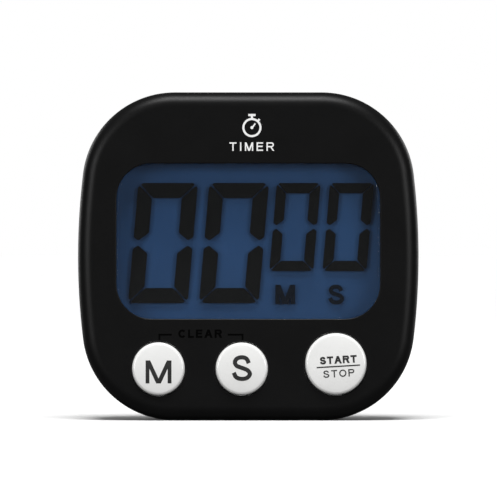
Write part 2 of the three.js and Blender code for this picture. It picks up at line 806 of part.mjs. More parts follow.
const keys = subassembly("buttons");
for (const [name, place] of Object.entries(BUTTONS)) {
  add(keys, `button_${name}`, button(place), MATERIALS.buttonWhite);
  add(keys, `rubber_dome_${name}`, rubberDome(place), MATERIALS.siliconeGrey);
  add(keys, `carbon_pill_${name}`, carbonPill(place), MATERIALS.carbon);
}

const display = subassembly("display");
add(display, "lcd_front_polariser", displaySheet(LCD.front, LCD.sheet, 0.4), MATERIALS.lcdGlass);
add(display, "lcd_front_glass", displaySheet(FRONT_GLASS_DEPTH, LCD.glass, 0, LCD.ledgeTop), MATERIALS.lcdGlass);
add(display, "lcd_rear_glass", displaySheet(REAR_GLASS_DEPTH, LCD.glass, 0), MATERIALS.lcdGlass);
add(display, "lcd_rear_polariser", displaySheet(REAR_SHEET_DEPTH, LCD.sheet, 0.4), MATERIALS.lcdBlue);
add(display, "lcd_holder", lcdHolder(), MATERIALS.holderGrey);
add(display, "zebra_strip", zebraStrip(), MATERIALS.contactPink);

const electronics = subassembly("electronics");
add(electronics, "circuit_board", circuitBoard(), MATERIALS.boardGreen);
add(electronics, "chip_blob", chipBlob(), MATERIALS.epoxy);
add(electronics, "crystal", crystalCan(), MATERIALS.canSilver);
add(electronics, "capacitor", capacitorCan(), MATERIALS.sleeveBlue);
add(electronics, "resistor_1", chipResistor(-2, 2), MATERIALS.resistorBlack);
add(electronics, "resistor_2", chipResistor(-2, -1), MATERIALS.resistorBlack);
BOARD_SCREWS.forEach((place, index) => {
  const shape = screw(place, BOARD_SCREW, BOARD.back + 0.05);
  add(electronics, `board_screw_${index + 1}`, shape, MATERIALS.screwSteel);
});
const buzzerDisc = disc(BUZZER.radius, BUZZER.front, BUZZER.front + BUZZER.thickness, 0, BUZZER.z);
add(electronics, "buzzer_disc", buzzerDisc, MATERIALS.brass);
const ceramic = disc(BUZZER.ceramic, CERAMIC_FRONT, CERAMIC_FRONT + BUZZER.thickness, 0, BUZZER.z, 24);
add(electronics, "buzzer_ceramic", ceramic, MATERIALS.ceramic);
for (const [name, places] of Object.entries(WIRES)) {
  const finish = name.endsWith("red") ? MATERIALS.wireRed : MATERIALS.wireBlack;
  add(electronics, name, wire(places, WIRE_RADIUS, 10), finish);
}

const power = subassembly("battery");
add(power, "battery_cell", batteryCell(), MATERIALS.cellLabel);
add(power, "battery_contact_positive", positiveContact(), MATERIALS.nickel);
add(power, "battery_contact_negative", contactPlate(NEGATIVE_PLATE), MATERIALS.nickel);
add(power, "battery_spring", batterySpring(), MATERIALS.nickel);

export default timer;
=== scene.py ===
import json
import math

import bmesh
import bpy
from mathutils import Matrix, Vector
from mathutils.geometry import delaunay_2d_cdt


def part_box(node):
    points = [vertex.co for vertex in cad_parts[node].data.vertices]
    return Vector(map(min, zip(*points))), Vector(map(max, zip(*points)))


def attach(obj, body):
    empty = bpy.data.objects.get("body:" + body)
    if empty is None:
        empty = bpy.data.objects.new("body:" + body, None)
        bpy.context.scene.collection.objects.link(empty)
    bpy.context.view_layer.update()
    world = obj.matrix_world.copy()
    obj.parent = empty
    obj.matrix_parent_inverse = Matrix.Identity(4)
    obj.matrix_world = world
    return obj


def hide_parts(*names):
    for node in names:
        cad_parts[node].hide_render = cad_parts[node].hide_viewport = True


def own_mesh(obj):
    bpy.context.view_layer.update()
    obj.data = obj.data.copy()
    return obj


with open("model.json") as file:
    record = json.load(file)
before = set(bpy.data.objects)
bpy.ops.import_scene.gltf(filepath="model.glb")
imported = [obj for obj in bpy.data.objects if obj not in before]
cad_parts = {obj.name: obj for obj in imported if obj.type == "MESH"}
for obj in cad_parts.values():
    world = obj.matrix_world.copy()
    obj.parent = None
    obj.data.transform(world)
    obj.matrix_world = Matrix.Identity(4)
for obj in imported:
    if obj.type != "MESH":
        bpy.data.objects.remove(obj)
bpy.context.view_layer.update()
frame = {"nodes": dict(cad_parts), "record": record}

MM = 0.001
MILLIMETRE = 1 / MM

# ---------------------------------------------------------------- sizes read from the frame

CASE_LOW, CASE_HIGH = (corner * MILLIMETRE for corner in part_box("front_housing"))
FRONT = CASE_LOW.y
MIDDLE = (CASE_LOW.z + CASE_HIGH.z) / 2
WIDTH = CASE_HIGH.x - CASE_LOW.x
HEIGHT = CASE_HIGH.z - CASE_LOW.z
PARTING = CASE_HIGH.y - FRONT
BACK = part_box("rear_housing")[1].y * MILLIMETRE - FRONT


def extent(node):
    """The lowest and highest corner of a CAD node, as an x, a depth and a height from the middle."""
    origin = Vector((0, FRONT, MIDDLE))
    low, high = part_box(node)
    return low * MILLIMETRE - origin, high * MILLIMETRE - origin


# ---------------------------------------------------------------- driving dimensions of the details

CORNER_RADIUS = 19.0
SIDE_RADIUS = 142.0
FILLET = 3.0
FRONT_WALL = 2.0
SIDE_WALL = 1.8
BACK_WALL = 1.8
INNER_FILLET = 1.0
SEAM_EDGE = 0.2
SEAM_GAP = 0.2
TONGUE = {"reach": 1.4, "outside": 2.0, "inside": 2.8, "root": 1.5}
MOUTH = 0.2
SCREW_MOUTH = 0.4
BEYOND = 1.0

LENS = {"recess": 0.4, "gap": 0.2, "rim": 1.6, "flange": 0.9, "corner": 7.15, "edge": 0.15}
BUTTON = {"flange": 0.75, "gap": 0.25, "crown": 0.3, "rim": 0.6, "wall": 0.9, "roof": 0.2, "stem": 2.0}
KEY = {"width": 1.4, "reach": 0.9, "gap": 0.3, "post": 1.0, "post_end": 4.4}
DOME = {"top": 2.4, "foot": 3.8, "base": 4.8, "wall": 0.4, "roof": 0.55, "lip": 0.45}
BAY = {"left": -25.7, "right": 23.3, "half": 5.4, "floor": 7.7, "wall": 1.2}
LID = {"gap": 0.15, "corner": 1.5, "slot_x": 4.8, "slot": 0.6, "slot_length": 5.5, "grip": 3.4, "scoop": 4.0}
HOOK = {"x": 15.0, "width": 6.0, "back": 18.15, "front": 17.0, "leg_top": 10.95, "tip": 8.0, "swing": 3.8}
STAND = {
    "gap": 0.4, "floor_gap": 0.3, "notch": 4.5, "corner": 0.8, "pin": 0.75, "pin_hole": 0.87, "reach": 1.3,
}
MAGNET = {"gap": 0.1, "wall": 1.2, "floor": 1.1, "edge": 0.3}
SCREW = {"seat": 14.0, "head": 2.0, "shank": 1.0, "boss": 2.4, "tube": 3.2}
BOARD_SCREW = {"shank": 0.8, "boss": 1.9}
BUZZER = {
    "z": -10.0, "hole": 0.8, "pitch": 3.6, "bore": 10.2, "outer": 11.2, "ledge": 9.0,
    "top": 14.6, "seat": 15.4,
}
PRINT = 0.04

ARC_STEP = 3.0
RIM_STEPS = 6
SHARP_ANGLE = 32

BUTTON_NAMES = ("minutes", "seconds", "start_stop")


# ---------------------------------------------------------------- outlines

def arc(x, z, radius, start, end, step=ARC_STEP):
    """Points along an arc from one angle to another."""
    count = max(2, math.ceil(abs(end - start) / step))
    angles = [math.radians(start + (end - start) * i / count) for i in range(count + 1)]
    return [(x + radius * math.cos(a), z + radius * math.sin(a)) for a in angles]


def circle(x, z, radius, steps=96):
    """The outline of a circle, moved inwards by an inset."""
    def outline(inset=0):
        return arc(x, z, radius - inset, 0, 360, 360 / steps)[:-1]
    return outline


def rounded_rectangle(left, right, bottom, top, radius):
    """The outline of a rectangle with round corners, moved inwards by an inset."""
    def outline(inset=0):
        r = max(radius - inset, 0.01)
        low_x, high_x = left + inset + r, right - inset - r
        low_z, high_z = bottom + inset + r, top - inset - r
        return (
            arc(high_x, low_z, r, -90, 0, 10)
            + arc(high_x, high_z, r, 0, 90, 10)
            + arc(low_x, high_z, r, 90, 180, 10)
            + arc(low_x, low_z, r, 180, 270, 10)
        )
    return outline


def body_outline(inset=0):
    """The outline of the case: bowed sides, straight top and bottom, and large round corners."""
    corner_z = HEIGHT / 2 - CORNER_RADIUS
    side_x = WIDTH / 2 - SIDE_RADIUS
    turn = math.degrees(math.asin(corner_z / (SIDE_RADIUS - CORNER_RADIUS)))
    corner_x = side_x + (SIDE_RADIUS - CORNER_RADIUS) * math.cos(math.radians(turn))
    corner, side = CORNER_RADIUS - inset, SIDE_RADIUS - inset
    right = (
        arc(corner_x, -corner_z, corner, -90, -turn)
        + arc(side_x, 0, side, -turn, turn, 1)[1:-1]
        + arc(corner_x, corner_z, corner, turn, 90)
    )
    return right + [(-x, -z) for x, z in right]


# ---------------------------------------------------------------- solids

def solid(mesh):
    """An object from a bmesh of a closed surface, with its faces pointing out."""
    bmesh.ops.recalc_face_normals(mesh, faces=mesh.faces)
    data = bpy.data.meshes.new("solid")
    mesh.to_mesh(data)
    mesh.free()
    made = bpy.data.objects.new("solid", data)
    bpy.context.scene.collection.objects.link(made)
    return made


def skin(rings):
    """A closed solid through rings of (x, depth, z) points; the two end rings are closed with a face."""
    mesh = bmesh.new()
    rows = [[mesh.verts.new((x, FRONT + depth, MIDDLE + z)) for x, depth, z in ring] for ring in rings]
    for before, after in zip(rows, rows[1:]):
        for i in range(len(before)):
            mesh.faces.new((before[i - 1], before[i], after[i], after[i - 1]))
    mesh.faces.new(rows[0])
    mesh.faces.new(rows[-1])
    return solid(mesh)


def swept(outline, profile):
    """A solid whose section at each depth is the outline moved in; its profile is (inset, depth) pairs."""
    return skin([[(x, depth, z) for x, z in outline(inset)] for inset, depth in profile])


def rim(radius, surface, inward=1, grow=1):
    """A rounded edge as (inset, depth) pairs, from the surface in. A grow of -1 rounds a hole's mouth."""
    pairs = []
    for i in range(RIM_STEPS + 1):
        angle = math.radians(90 * i / RIM_STEPS)
        pairs.append((
            grow * radius * (1 - math.sin(angle)),
            surface + inward * radius * (1 - math.cos(angle)),
        ))
    return pairs


def slab(outline, front, back, edge):
    """A plate with rounded edges on both faces."""
    return swept(outline, rim(edge, front) + rim(edge, back, -1)[::-1])


def box(left, right, front, back, bottom, top):
    """A plain block, used to join to or cut from other solids."""
    corners = [(left, bottom), (right, bottom), (right, top), (left, top)]
    return skin([[(x, depth, z) for x, z in corners] for depth in (front, back)])


def drilled(outline, surface, end, mouth, inward=1):
    """A cutter for a hole with a rounded mouth, from beyond a surface to its end."""
    start = [(-mouth, surface - inward * BEYOND)]
    return swept(outline, start + rim(mouth, surface, inward, -1) + [(0, end)])


def turned_along_x(profile, depth, z, steps=64):
    """A piece turned about a left-to-right axis, from (radius, x) pairs."""
    rings = []
    for radius, x in profile:
        ring = arc(depth, z, radius, 0, 360, 360 / steps)[:-1]
        rings.append([(x, d, height) for d, height in ring])
    return skin(rings)


def combine(base, tools, operation):
    """Joins solids to a base (UNION) or cuts them from it (DIFFERENCE)."""
    for tool in tools:
        modifier = base.modifiers.new("combine", "BOOLEAN")
        modifier.operation = operation
        modifier.solver = "MANIFOLD"
        modifier.object = tool
    evaluated = base.evaluated_get(bpy.context.evaluated_depsgraph_get())
    combined = bpy.data.meshes.new_from_object(evaluated)
    base.modifiers.clear()
    base.data = combined
    for tool in tools:
        bpy.data.objects.remove(tool)
    return base


def join(base, tools):
    return combine(base, tools, "UNION")


def cut(base, tools):
    return combine(base, tools, "DIFFERENCE")


def piece(made, name, body, slot, finish, *nodes):
    """Turns a solid into a finished piece in metres that stands for CAD nodes and rides on their body."""
    made.name = made.data.name = name
    made.data.transform(Matrix.Scale(MM, 4))
    made.data.materials.clear()
    made.data.materials.append(finish)
    made.data.shade_smooth()
    made.data.set_sharp_from_angle(angle=math.radians(SHARP_ANGLE))
    weighted = made.modifiers.new("flat_faces", "WEIGHTED_NORMAL")
    weighted.keep_sharp = True
    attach(made, body)
    if nodes:
        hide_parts(*nodes)
    return made


# ---------------------------------------------------------------- places

def button_place(name):
    """The x, height and cap radius of a button, from its CAD node: a round flange with a tab below it."""
    low, high = extent(f"button_{name}")
    reach = (high.x - low.x) / 2
    return (low.x + high.x) / 2, high.z - reach, reach - BUTTON["flange"]


def middle_of(node):
    low, high = extent(node)
    return (low.x + high.x) / 2, (low.z + high.z) / 2


CASE_SCREWS = [middle_of(f"housing_screw_{i}") for i in range(1, 5)]
BOARD_SCREWS = [middle_of(f"board_screw_{i}") for i in range(1, 5)]
BUTTON_PLACES = {name: button_place(name) for name in BUTTON_NAMES}
LENS_LOW, LENS_HIGH = extent("display_lens")
WINDOW = rounded_rectangle(
    LENS_LOW.x + LENS["rim"], LENS_HIGH.x - LENS["rim"],
    LENS_LOW.z + LENS["rim"], LENS_HIGH.z - LENS["rim"],
    LENS["corner"],
)
BOARD_FRONT = extent("circuit_board")[0].y


# ---------------------------------------------------------------- the case

def key_posts(x, z, radius):
    """Two posts behind the front wall that keep a button's key from turning."""
    top = z - radius - BUTTON["flange"] - KEY["gap"]
    inner = KEY["width"] / 2 + KEY["gap"]
    outer = inner + KEY["post"]
    ends = [(x - outer, x - inner), (x + inner, x + outer)]
    return [box(a, b, FRONT_WALL - 0.5, KEY["post_end"], top - KEY["reach"], top) for a, b in ends]


def front_case():
    shell = swept(body_outline, [
        *rim(FILLET, 0),
        *rim(SEAM_EDGE, PARTING, -1)[::-1],
        (SIDE_WALL, PARTING),
        (SIDE_WALL, FRONT_WALL + INNER_FILLET),
        (SIDE_WALL + INNER_FILLET, FRONT_WALL),
    ])
    root = FRONT_WALL - 0.5
    bosses = []
    for x, z in CASE_SCREWS:
        bosses.append(swept(circle(x, z, SCREW["boss"], 32), [(0, root), (0, PARTING - 0.3)]))
    for x, z in BOARD_SCREWS:
        bosses.append(swept(circle(x, z, BOARD_SCREW["boss"], 32), [(0, root), (0, BOARD_FRONT - 0.05)]))
    for place in BUTTON_PLACES.values():
        bosses += key_posts(*place)
    join(shell, bosses)

    through = FRONT_WALL + BEYOND
    openings = [drilled(WINDOW, 0, through, MOUTH)]
    for x, z, radius in BUTTON_PLACES.values():
        openings.append(drilled(circle(x, z, radius + BUTTON["gap"]), 0, through, MOUTH))
    for x, z in CASE_SCREWS:
        openings.append(swept(circle(x, z, SCREW["shank"] + 0.1, 24), [(0, 6.8), (0, PARTING)]))
    for x, z in BOARD_SCREWS:
        openings.append(swept(circle(x, z, BOARD_SCREW["shank"] + 0.1, 24), [(0, 3), (0, BOARD_FRONT)]))
    return cut(shell, openings)


def window_lens():
    front, back = LENS["recess"], LENS_HIGH.y
    flange_front = back - LENS["flange"]
    gap, grow = LENS["gap"], -LENS["rim"]
    edge = [(gap + inset, depth) for inset, depth in rim(LENS["edge"], front)]
    return swept(WINDOW, edge + [(gap, flange_front), (grow, flange_front), (grow, back)])


# ---------------------------------------------------------------- buttons

def crown_depth(distance, radius):
    """How deep a button's crowned top lies at a distance from its middle."""
    low, _ = extent("button_minutes")
    return low.y + PRINT / 2 + BUTTON["crown"] * (distance / (radius - BUTTON["rim"])) ** 2


def button(name):
    x, z, radius = BUTTON_PLACES[name]
    low, high = extent(f"button_{name}")
    flange_back = 2.85
    flange_front = 2.15
    flat = radius - BUTTON["rim"]
    profile = [(radius - flat * i / 10, crown_depth(flat * i / 10, radius)) for i in range(1, 11)]
    start = math.degrees(math.atan(2 * BUTTON["crown"] / flat))
    crown_end = crown_depth(flat, radius)
    reach = BUTTON["rim"] / (1 - math.sin(math.radians(start)))
    for i in range(1, 11):
        angle = math.radians(start + (90 - start) * i / 10)
        along = reach * (math.sin(angle) - math.sin(math.radians(start)))
        down = reach * (math.cos(math.radians(start)) - math.cos(angle))
        profile.append((BUTTON["rim"] - along, crown_end + down))
    wall = BUTTON["wall"]
    profile += [
        (0, flange_front),
        (-BUTTON["flange"], flange_front),
        (-BUTTON["flange"], flange_back),
        (wall, flange_back),
        (wall, BUTTON["roof"]),
        (radius - BUTTON["stem"], BUTTON["roof"]),
        (radius - BUTTON["stem"], high.y),
    ]
    cap = swept(circle(x, z, radius), profile)
    edge = z - radius - BUTTON["flange"]
    half = KEY["width"] / 2
    key = box(x - half, x + half, flange_front, flange_back, low.z, edge + wall)
    return join(cap, [key])


def rubber_dome(name):
    """A hollow cone on a foot ring: the closed profile runs up the outside and back down the inside."""
    x, z, _ = BUTTON_PLACES[name]
    low, high = extent(f"rubber_dome_{name}")
    base = high.y - DOME["lip"]
    wall = DOME["wall"]
    radii = [
        (0.3, low.y),
        (DOME["top"] - 0.2, low.y),
        (DOME["top"], low.y + 0.15),
        (DOME["foot"] - 0.15, base - 0.15),
        (DOME["foot"] + 0.25, base),
        (DOME["base"] - 0.1, base),
        (DOME["base"], base + 0.1),
        (DOME["base"], high.y),
        (DOME["foot"] - wall, high.y),
        (DOME["foot"] - wall, base),
        (DOME["top"] - wall, low.y + DOME["roof"]),
        (0.3, low.y + DOME["roof"]),
    ]
    return swept(circle(x, z, DOME["base"], 48), [(DOME["base"] - r, depth) for r, depth in radii])


# ---------------------------------------------------------------- flat print and display segments

def ribbon(points, width, closed=False):
    """Quads of one width along a line of points, mitred at its bends."""
    line = [Vector(p) for p in points]
    count = len(line)
    sides = []
    for i, point in enumerate(line):
        before = (point - line[i - 1]).normalized() if closed or i > 0 else None
        after = (line[(i + 1) % count] - point).normalized() if closed or i < count - 1 else None
        before = before or after
        after = after or before
        along = (before + after).normalized()
        across = Vector((-along.y, along.x)) * (width / 2 / max(along.dot(before), 0.5))
        sides.append((point + across, point - across))
    spans = range(count if closed else count - 1)
    return [
        [sides[i][0], sides[i][1], sides[(i + 1) % count][1], sides[(i + 1) % count][0]]
        for i in spans
    ]


def bar(left, right, bottom, top):
    return [(left, bottom), (right, bottom), (right, top), (left, top)]


def ellipse(x, z, radius_x, radius_z, start, end, step=10):
    return [(x + radius_x * a, z + radius_z * b) for a, b in arc(0, 0, 1, start, end, step)]


def letter_m(w, h, s):
    lean = 1.2 * s
    foot = [(w / 2 - lean / 2, 0), (w / 2 + lean / 2, 0)]
    return [
        bar(0, s, 0, h),
        bar(w - s, w, 0, h),
        [(0, h), *foot, (lean, h)],
        [(w - lean, h), *foot, (w, h)],
    ]


def smooth(points, steps=4):
    """A smooth line through points, by a Catmull-Rom spline."""
    line = [Vector(p) for p in points]
    padded = [2 * line[0] - line[1], *line, 2 * line[-1] - line[-2]]
    made = []
    for a, b, c, d in zip(padded, padded[1:], padded[2:], padded[3:]):
        for i in range(steps):
            t = i / steps
            bend = 2 * a - 5 * b + 4 * c - d
            twist = 3 * b - a - 3 * c + d
            made.append((2 * b + (c - a) * t + bend * t**2 + twist * t**3) / 2)
    return made + [line[-1]]


def letter_s(w, h, s):
    """The middle line of an S, on a square from -1 to 1, from its upper end to its lower one."""
    upper = [(0.84, 0.45), (0.57, 0.86), (0, 1), (-0.6, 0.88), (-0.86, 0.54), (-0.62, 0.21)]
    lower = [(0, 0.02), (0.68, -0.19), (0.98, -0.54), (0.64, -0.89), (0, -1), (-0.68, -0.85), (-1, -0.42)]
    line = [(w / 2 + x * (w - s) / 2, h / 2 + z * (h - s) / 2) for x, z in upper + lower]
    return ribbon(smooth(line), s)


def letter_t(w, h, s):
    return [bar(0, w, h - s, h), bar((w - s) / 2, (w + s) / 2, 0, h)]


def letter_i(w, h, s):
    return [bar((w - s) / 2, (w + s) / 2, 0, h)]


def letter_l(w, h, s):
    return [bar(0, s, 0, h), bar(0, w, 0, s)]


def letter_e(w, h, s):
    waist = 0.53 * h
    middle = bar(0, 0.93 * w, waist - s / 2, waist + s / 2)
    return [bar(0, s, 0, h), bar(0, w, 0, s), bar(0, w, h - s, h), middle]


def letter_a(w, h, s):
    lean = 1.1 * s
    top = [(w / 2 + lean / 2, h), (w / 2 - lean / 2, h)]
    cross = 0.26 * h
    inset = cross / h * (w - lean) / 2
    return [
        [(0, 0), (lean, 0), *top],
        [(w - lean, 0), (w, 0), *top],
        bar(inset + lean / 2, w - inset - lean / 2, cross, cross + 0.9 * s),
    ]


def letter_o(w, h, s):
    return ribbon(ellipse(w / 2, h / 2, (w - s) / 2, (h - s) / 2, 0, 360)[:-1], s, closed=True)


def letter_c(w, h, s):
    return ribbon(ellipse(w / 2, h / 2, (w - s) / 2, (h - s) / 2, 42, 318), s)


def letter_p(w, h, s):
    waist = 0.42 * h
    rise = (h - s / 2 - waist - s / 2) / 2
    middle = waist + s / 2 + rise
    turn = ellipse(w - s / 2 - rise, middle, rise, rise, 90, -90)
    bowl = [(s / 2, h - s / 2), *turn, (s / 2, waist + s / 2)]
    return [bar(0, s, 0, h), *ribbon(bowl, s)]


def letter_r(w, h, s):
    waist = 0.5 * h
    across = 1.2 * s
    leg = [(0.42 * w, waist), (w - across, 0), (w, 0), (0.42 * w + across, waist)]
    return letter_p(0.94 * w, h, s) + [leg]


LETTERS = {
    "M": (letter_m, 0.97), "S": (letter_s, 0.84), "T": (letter_t, 0.82), "I": (letter_i, 0.2),
    "L": (letter_l, 0.7), "E": (letter_e, 0.77), "A": (letter_a, 1.0), "O": (letter_o, 0.99),
    "C": (letter_c, 0.93), "P": (letter_p, 0.82), "R": (letter_r, 0.92),
}


def word(text, width, height, stroke):
    """The polygons of a word, centred on the origin."""
    sizes = [width if len(text) == 1 else LETTERS[letter][1] * height for letter in text]
    gap = (width - sum(sizes)) / max(len(text) - 1, 1)
    polygons = []
    left = -width / 2
    for letter, size in zip(text, sizes):
        shape = LETTERS[letter][0](size, height, stroke)
        polygons += moved(shape, left, -height / 2)
        left += size + gap
    return polygons


def moved(polygons, x, z, turn=0):
    """Polygons turned about the origin and then shifted."""
    cos, sin = math.cos(math.radians(turn)), math.sin(math.radians(turn))
    return [[(x + u * cos - v * sin, z + u * sin + v * cos) for u, v in polygon] for polygon in polygons]


def softened(polygon, radius):
    """A polygon with each corner rounded off."""
    points = []
    for i, corner in enumerate(polygon):
        here = Vector(corner)
        before = Vector(polygon[i - 1]) - here
        after = Vector(polygon[(i + 1) % len(polygon)]) - here
        reach = min(radius, 0.4 * before.length, 0.4 * after.length)
        start, end = here + before.normalized() * reach, here + after.normalized() * reach
        for t in (0, 0.33, 0.67, 1):
            points.append(tuple(start * (1 - t) ** 2 + here * 2 * t * (1 - t) + end * t * t))
    return points


def flat_piece(polygons, depth_at, thickness, spacing=None):
    """A thin solid that covers overlapping polygons once. depth_at(x, z) is the depth of its front."""
    if spacing:
        polygons = [divided(polygon, spacing) for polygon in polygons]
    corners, faces = [], []
    for polygon in polygons:
        faces.append(list(range(len(corners), len(corners) + len(polygon))))
        corners += [Vector(p) for p in polygon]
    if spacing:
        corners += grid_over(corners, spacing)
    points, _, triangles, *_ = delaunay_2d_cdt(corners, [], faces, 1, 1e-5)
    mesh = bmesh.new()
    fronts, backs = [], []
    for x, z in points:
        depth = FRONT + depth_at(x, z)
        fronts.append(mesh.verts.new((x, depth, MIDDLE + z)))
        backs.append(mesh.verts.new((x, depth + thickness, MIDDLE + z)))
    for triangle in triangles:
        middle = sum((points[i] for i in triangle), Vector((0, 0))) / 3
        if any(holds(polygon, middle) for polygon in polygons):
            mesh.faces.new([fronts[i] for i in triangle])
            mesh.faces.new([backs[i] for i in reversed(triangle)])
    partner = dict(zip(fronts, backs))
    for edge in [e for e in mesh.edges if e.is_boundary and e.verts[0] in partner]:
        a, b = edge.verts
        mesh.faces.new((a, b, partner[b], partner[a]))
    bmesh.ops.delete(mesh, geom=[v for v in mesh.verts if not v.link_faces], context="VERTS")
    return solid(mesh)


def holds(polygon, point):
    """True if the point lies inside the polygon, by counting the edges that it passes under."""
    inside = False
    for (x1, z1), (x2, z2) in zip(polygon, polygon[1:] + polygon[:1]):
        if (z1 > point.y) != (z2 > point.y) and point.x < x1 + (point.y - z1) * (x2 - x1) / (z2 - z1):
            inside = not inside
    return inside


def divided(polygon, spacing):
    """A polygon with points added so that none of its edges is longer than the spacing."""
    points = []
    for start, end in zip(polygon, polygon[1:] + polygon[:1]):
        start, end = Vector(start), Vector(end)
        count = max(1, math.ceil((end - start).length / spacing))
        points += [tuple(start.lerp(end, i / count)) for i in range(count)]
    return points


def grid_over(corners, spacing):
    """Points on a grid over the given corners, so that a flat piece can follow a curved surface."""
    low_x, high_x = min(c.x for c in corners), max(c.x for c in corners)
    low_z, high_z = min(c.y for c in corners), max(c.y for c in corners)
    columns = int((high_x - low_x) / spacing)
    rows = int((high_z - low_z) / spacing)
    return [
        Vector((low_x + spacing * (i + 0.5), low_z + spacing * (j + 0.5)))
        for i in range(columns)
        for j in range(rows)
    ]


def digit_zero(width, height, thickness):
    """The six lit segments of a zero, with mitred corners and pointed waists, before it is slanted."""
    a, b, t = width / 2, height / 2, thickness
    chamfer = 0.31 * t
    mitre = 0.12 * t / math.sqrt(8)
    tip = 0.16 * t
    level = [
        (a - chamfer, b),
        (a - chamfer / 2 - mitre, b - chamfer / 2 + mitre),
        (a - t - 2 * mitre, b - t),
    ]
    upright = [
        (a - chamfer / 2 + mitre, b - chamfer / 2 - mitre),
        (a, b - chamfer),
        (a, tip + 0.23 * t),
        (a - t / 3, tip),
        (a - t, tip + 0.52 * t),
        (a - t, b - t - 2 * mitre),
    ]
    top = level + [(-x, z) for x, z in reversed(level)]
    segments = [top, [(x, -z) for x, z in top]]
    for sx in (-1, 1):
        for sz in (-1, 1):
            segments.append([(sx * x, sz * z) for x, z in upright])
    return [softened(segment, 0.08 * t) for segment in segments]


# ---------------------------------------------------------------- the display

DIGIT_SLANT = math.tan(math.radians(4.9))
BIG_DIGIT = {"width": 12.3, "height": 24.7, "thickness": 3.1}
SMALL_DIGIT = {"width": 9.05, "height": 18.1, "thickness": 2.1}
BIG_DIGIT_PLACES = [(-17.54, 2.74), (-2.95, 2.74)]
SMALL_DIGIT_PLACES = [(9.6, 6.03), (20.55, 6.03)]
DISPLAY_MINUTES = {"letters": "M", "size": (4.1, 4.0, 0.9), "place": (7.6, -7.84)}
DISPLAY_SECONDS = {"letters": "S", "size": (3.4, 4.1, 0.85), "place": (18.07, -7.86)}


def lettering(legend):
    """A word at its place; its size is a width, a height and a line thickness."""
    return moved(word(legend["letters"], *legend["size"]), *legend["place"])


def lcd_segments():
    polygons = []
    for size, places in ((BIG_DIGIT, BIG_DIGIT_PLACES), (SMALL_DIGIT, SMALL_DIGIT_PLACES)):
        slanted = [[(x + DIGIT_SLANT * z, z) for x, z in polygon] for polygon in digit_zero(**size)]
        for x, z in places:
            polygons += moved(slanted, x, z)
    return flat_piece(polygons, lcd_depth, PRINT)


def lcd_legends():
    return flat_piece(lettering(DISPLAY_MINUTES) + lettering(DISPLAY_SECONDS), lcd_depth, PRINT)


def lcd_depth(x, z):
    """The digits lie in the liquid crystal, between the two glasses."""
    return extent("lcd_front_glass")[1].y + 0.005


# ---------------------------------------------------------------- printing

# START and STOP are placed from the middle of their mark, the marks from the middle of their
# button, and the others from the middle of the case.
BUTTON_MARKS = {
    "minutes": {"letters": "M", "size": (5.3, 4.7, 0.78), "place": (0.03, -0.63)},
    "seconds": {"letters": "S", "size": (4.2, 5.3, 0.86), "place": (0.03, 0.13)},
}
START = {"letters": "START", "size": (7.6, 1.55, 0.39), "place": (0.05, 1.35)}
STOP = {"letters": "STOP", "size": (6.4, 1.5, 0.25), "place": (0, -1.45)}
START_STOP = {"x": 0.5, "z": -0.5, "slant": 3.4, "half_line": 4.45, "line": 0.27}
CLEAR = {"letters": "CLEAR", "size": (9.0, 1.7, 0.4), "place": (-9.84, -15.86)}
BRACKET = {"line": 0.35, "z": -16.06, "drop": 1.1, "left": (-18.4, -15.7), "right": (-4.2, -1.0)}
NAME = {"letters": "TIMER", "size": (9.2, 1.75, 0.27), "place": (0.74, 22.5)}
STOPWATCH = {
    "x": 0.74, "z": 26.4, "radius": 1.75, "line": 0.42, "stem": 0.22, "stem_top": 0.75,
    "crown": 0.75, "crown_foot": 0.6, "crown_top": 1.05, "side": 0.2, "side_foot": 0.1,
    "side_top": 0.6, "side_turn": -42, "hand": 0.3, "hub": 0.32,
}
PRINT_SPACING = 0.45


def on_button(name, polygons):
    x, z, radius = BUTTON_PLACES[name]

    def depth_at(u, v):
        return crown_depth(math.hypot(u - x, v - z), radius) - PRINT / 2
    return flat_piece(moved(polygons, x, z), depth_at, PRINT, PRINT_SPACING)


def on_front(polygons):
    return flat_piece(polygons, lambda x, z: -PRINT / 2, PRINT)


def start_stop_print():
    reach, rise = START_STOP["half_line"], START_STOP["line"] / 2
    line = [bar(-reach, reach, -rise, rise)]
    marks = lettering(START) + line + lettering(STOP)
    return moved(marks, START_STOP["x"], START_STOP["z"], START_STOP["slant"])


def clear_print():
    """The word between two brackets that point down at the first two buttons."""
    line, z, drop = BRACKET["line"], BRACKET["z"], BRACKET["drop"]
    outer, inner = BRACKET["left"]
    left = [bar(outer, inner, z - line / 2, z + line / 2), bar(outer, outer + line, z - drop, z)]
    inner, outer = BRACKET["right"]
    right = [bar(inner, outer, z - line / 2, z + line / 2), bar(outer - line, outer, z - drop, z)]
    return on_front(lettering(CLEAR) + left + right)


def stopwatch_print():
    """A plain stopwatch sign over the word that says what the thing is."""
    sign = STOPWATCH
    radius, stem, crown, side = sign["radius"], sign["stem"], sign["crown"], sign["side"]
    ring = ribbon(ellipse(0, 0, radius, radius, 0, 360)[:-1], sign["line"], closed=True)
    knob = [
        bar(-stem, stem, radius, radius + sign["stem_top"]),
        bar(-crown, crown, radius + sign["crown_foot"], radius + sign["crown_top"]),
    ]
    pusher = bar(-side, side, radius + sign["side_foot"], radius + sign["side_top"])
    hand = ribbon([(0, -0.1), (0.7, 0.85)], sign["hand"])
    hub = [ellipse(0, 0, sign["hub"], sign["hub"], 0, 360, 30)[:-1]]
    marks = ring + knob + moved([pusher], 0, 0, sign["side_turn"]) + hand + hub
    return on_front(moved(marks, sign["x"], sign["z"]) + lettering(NAME))


# ---------------------------------------------------------------- the back of the case

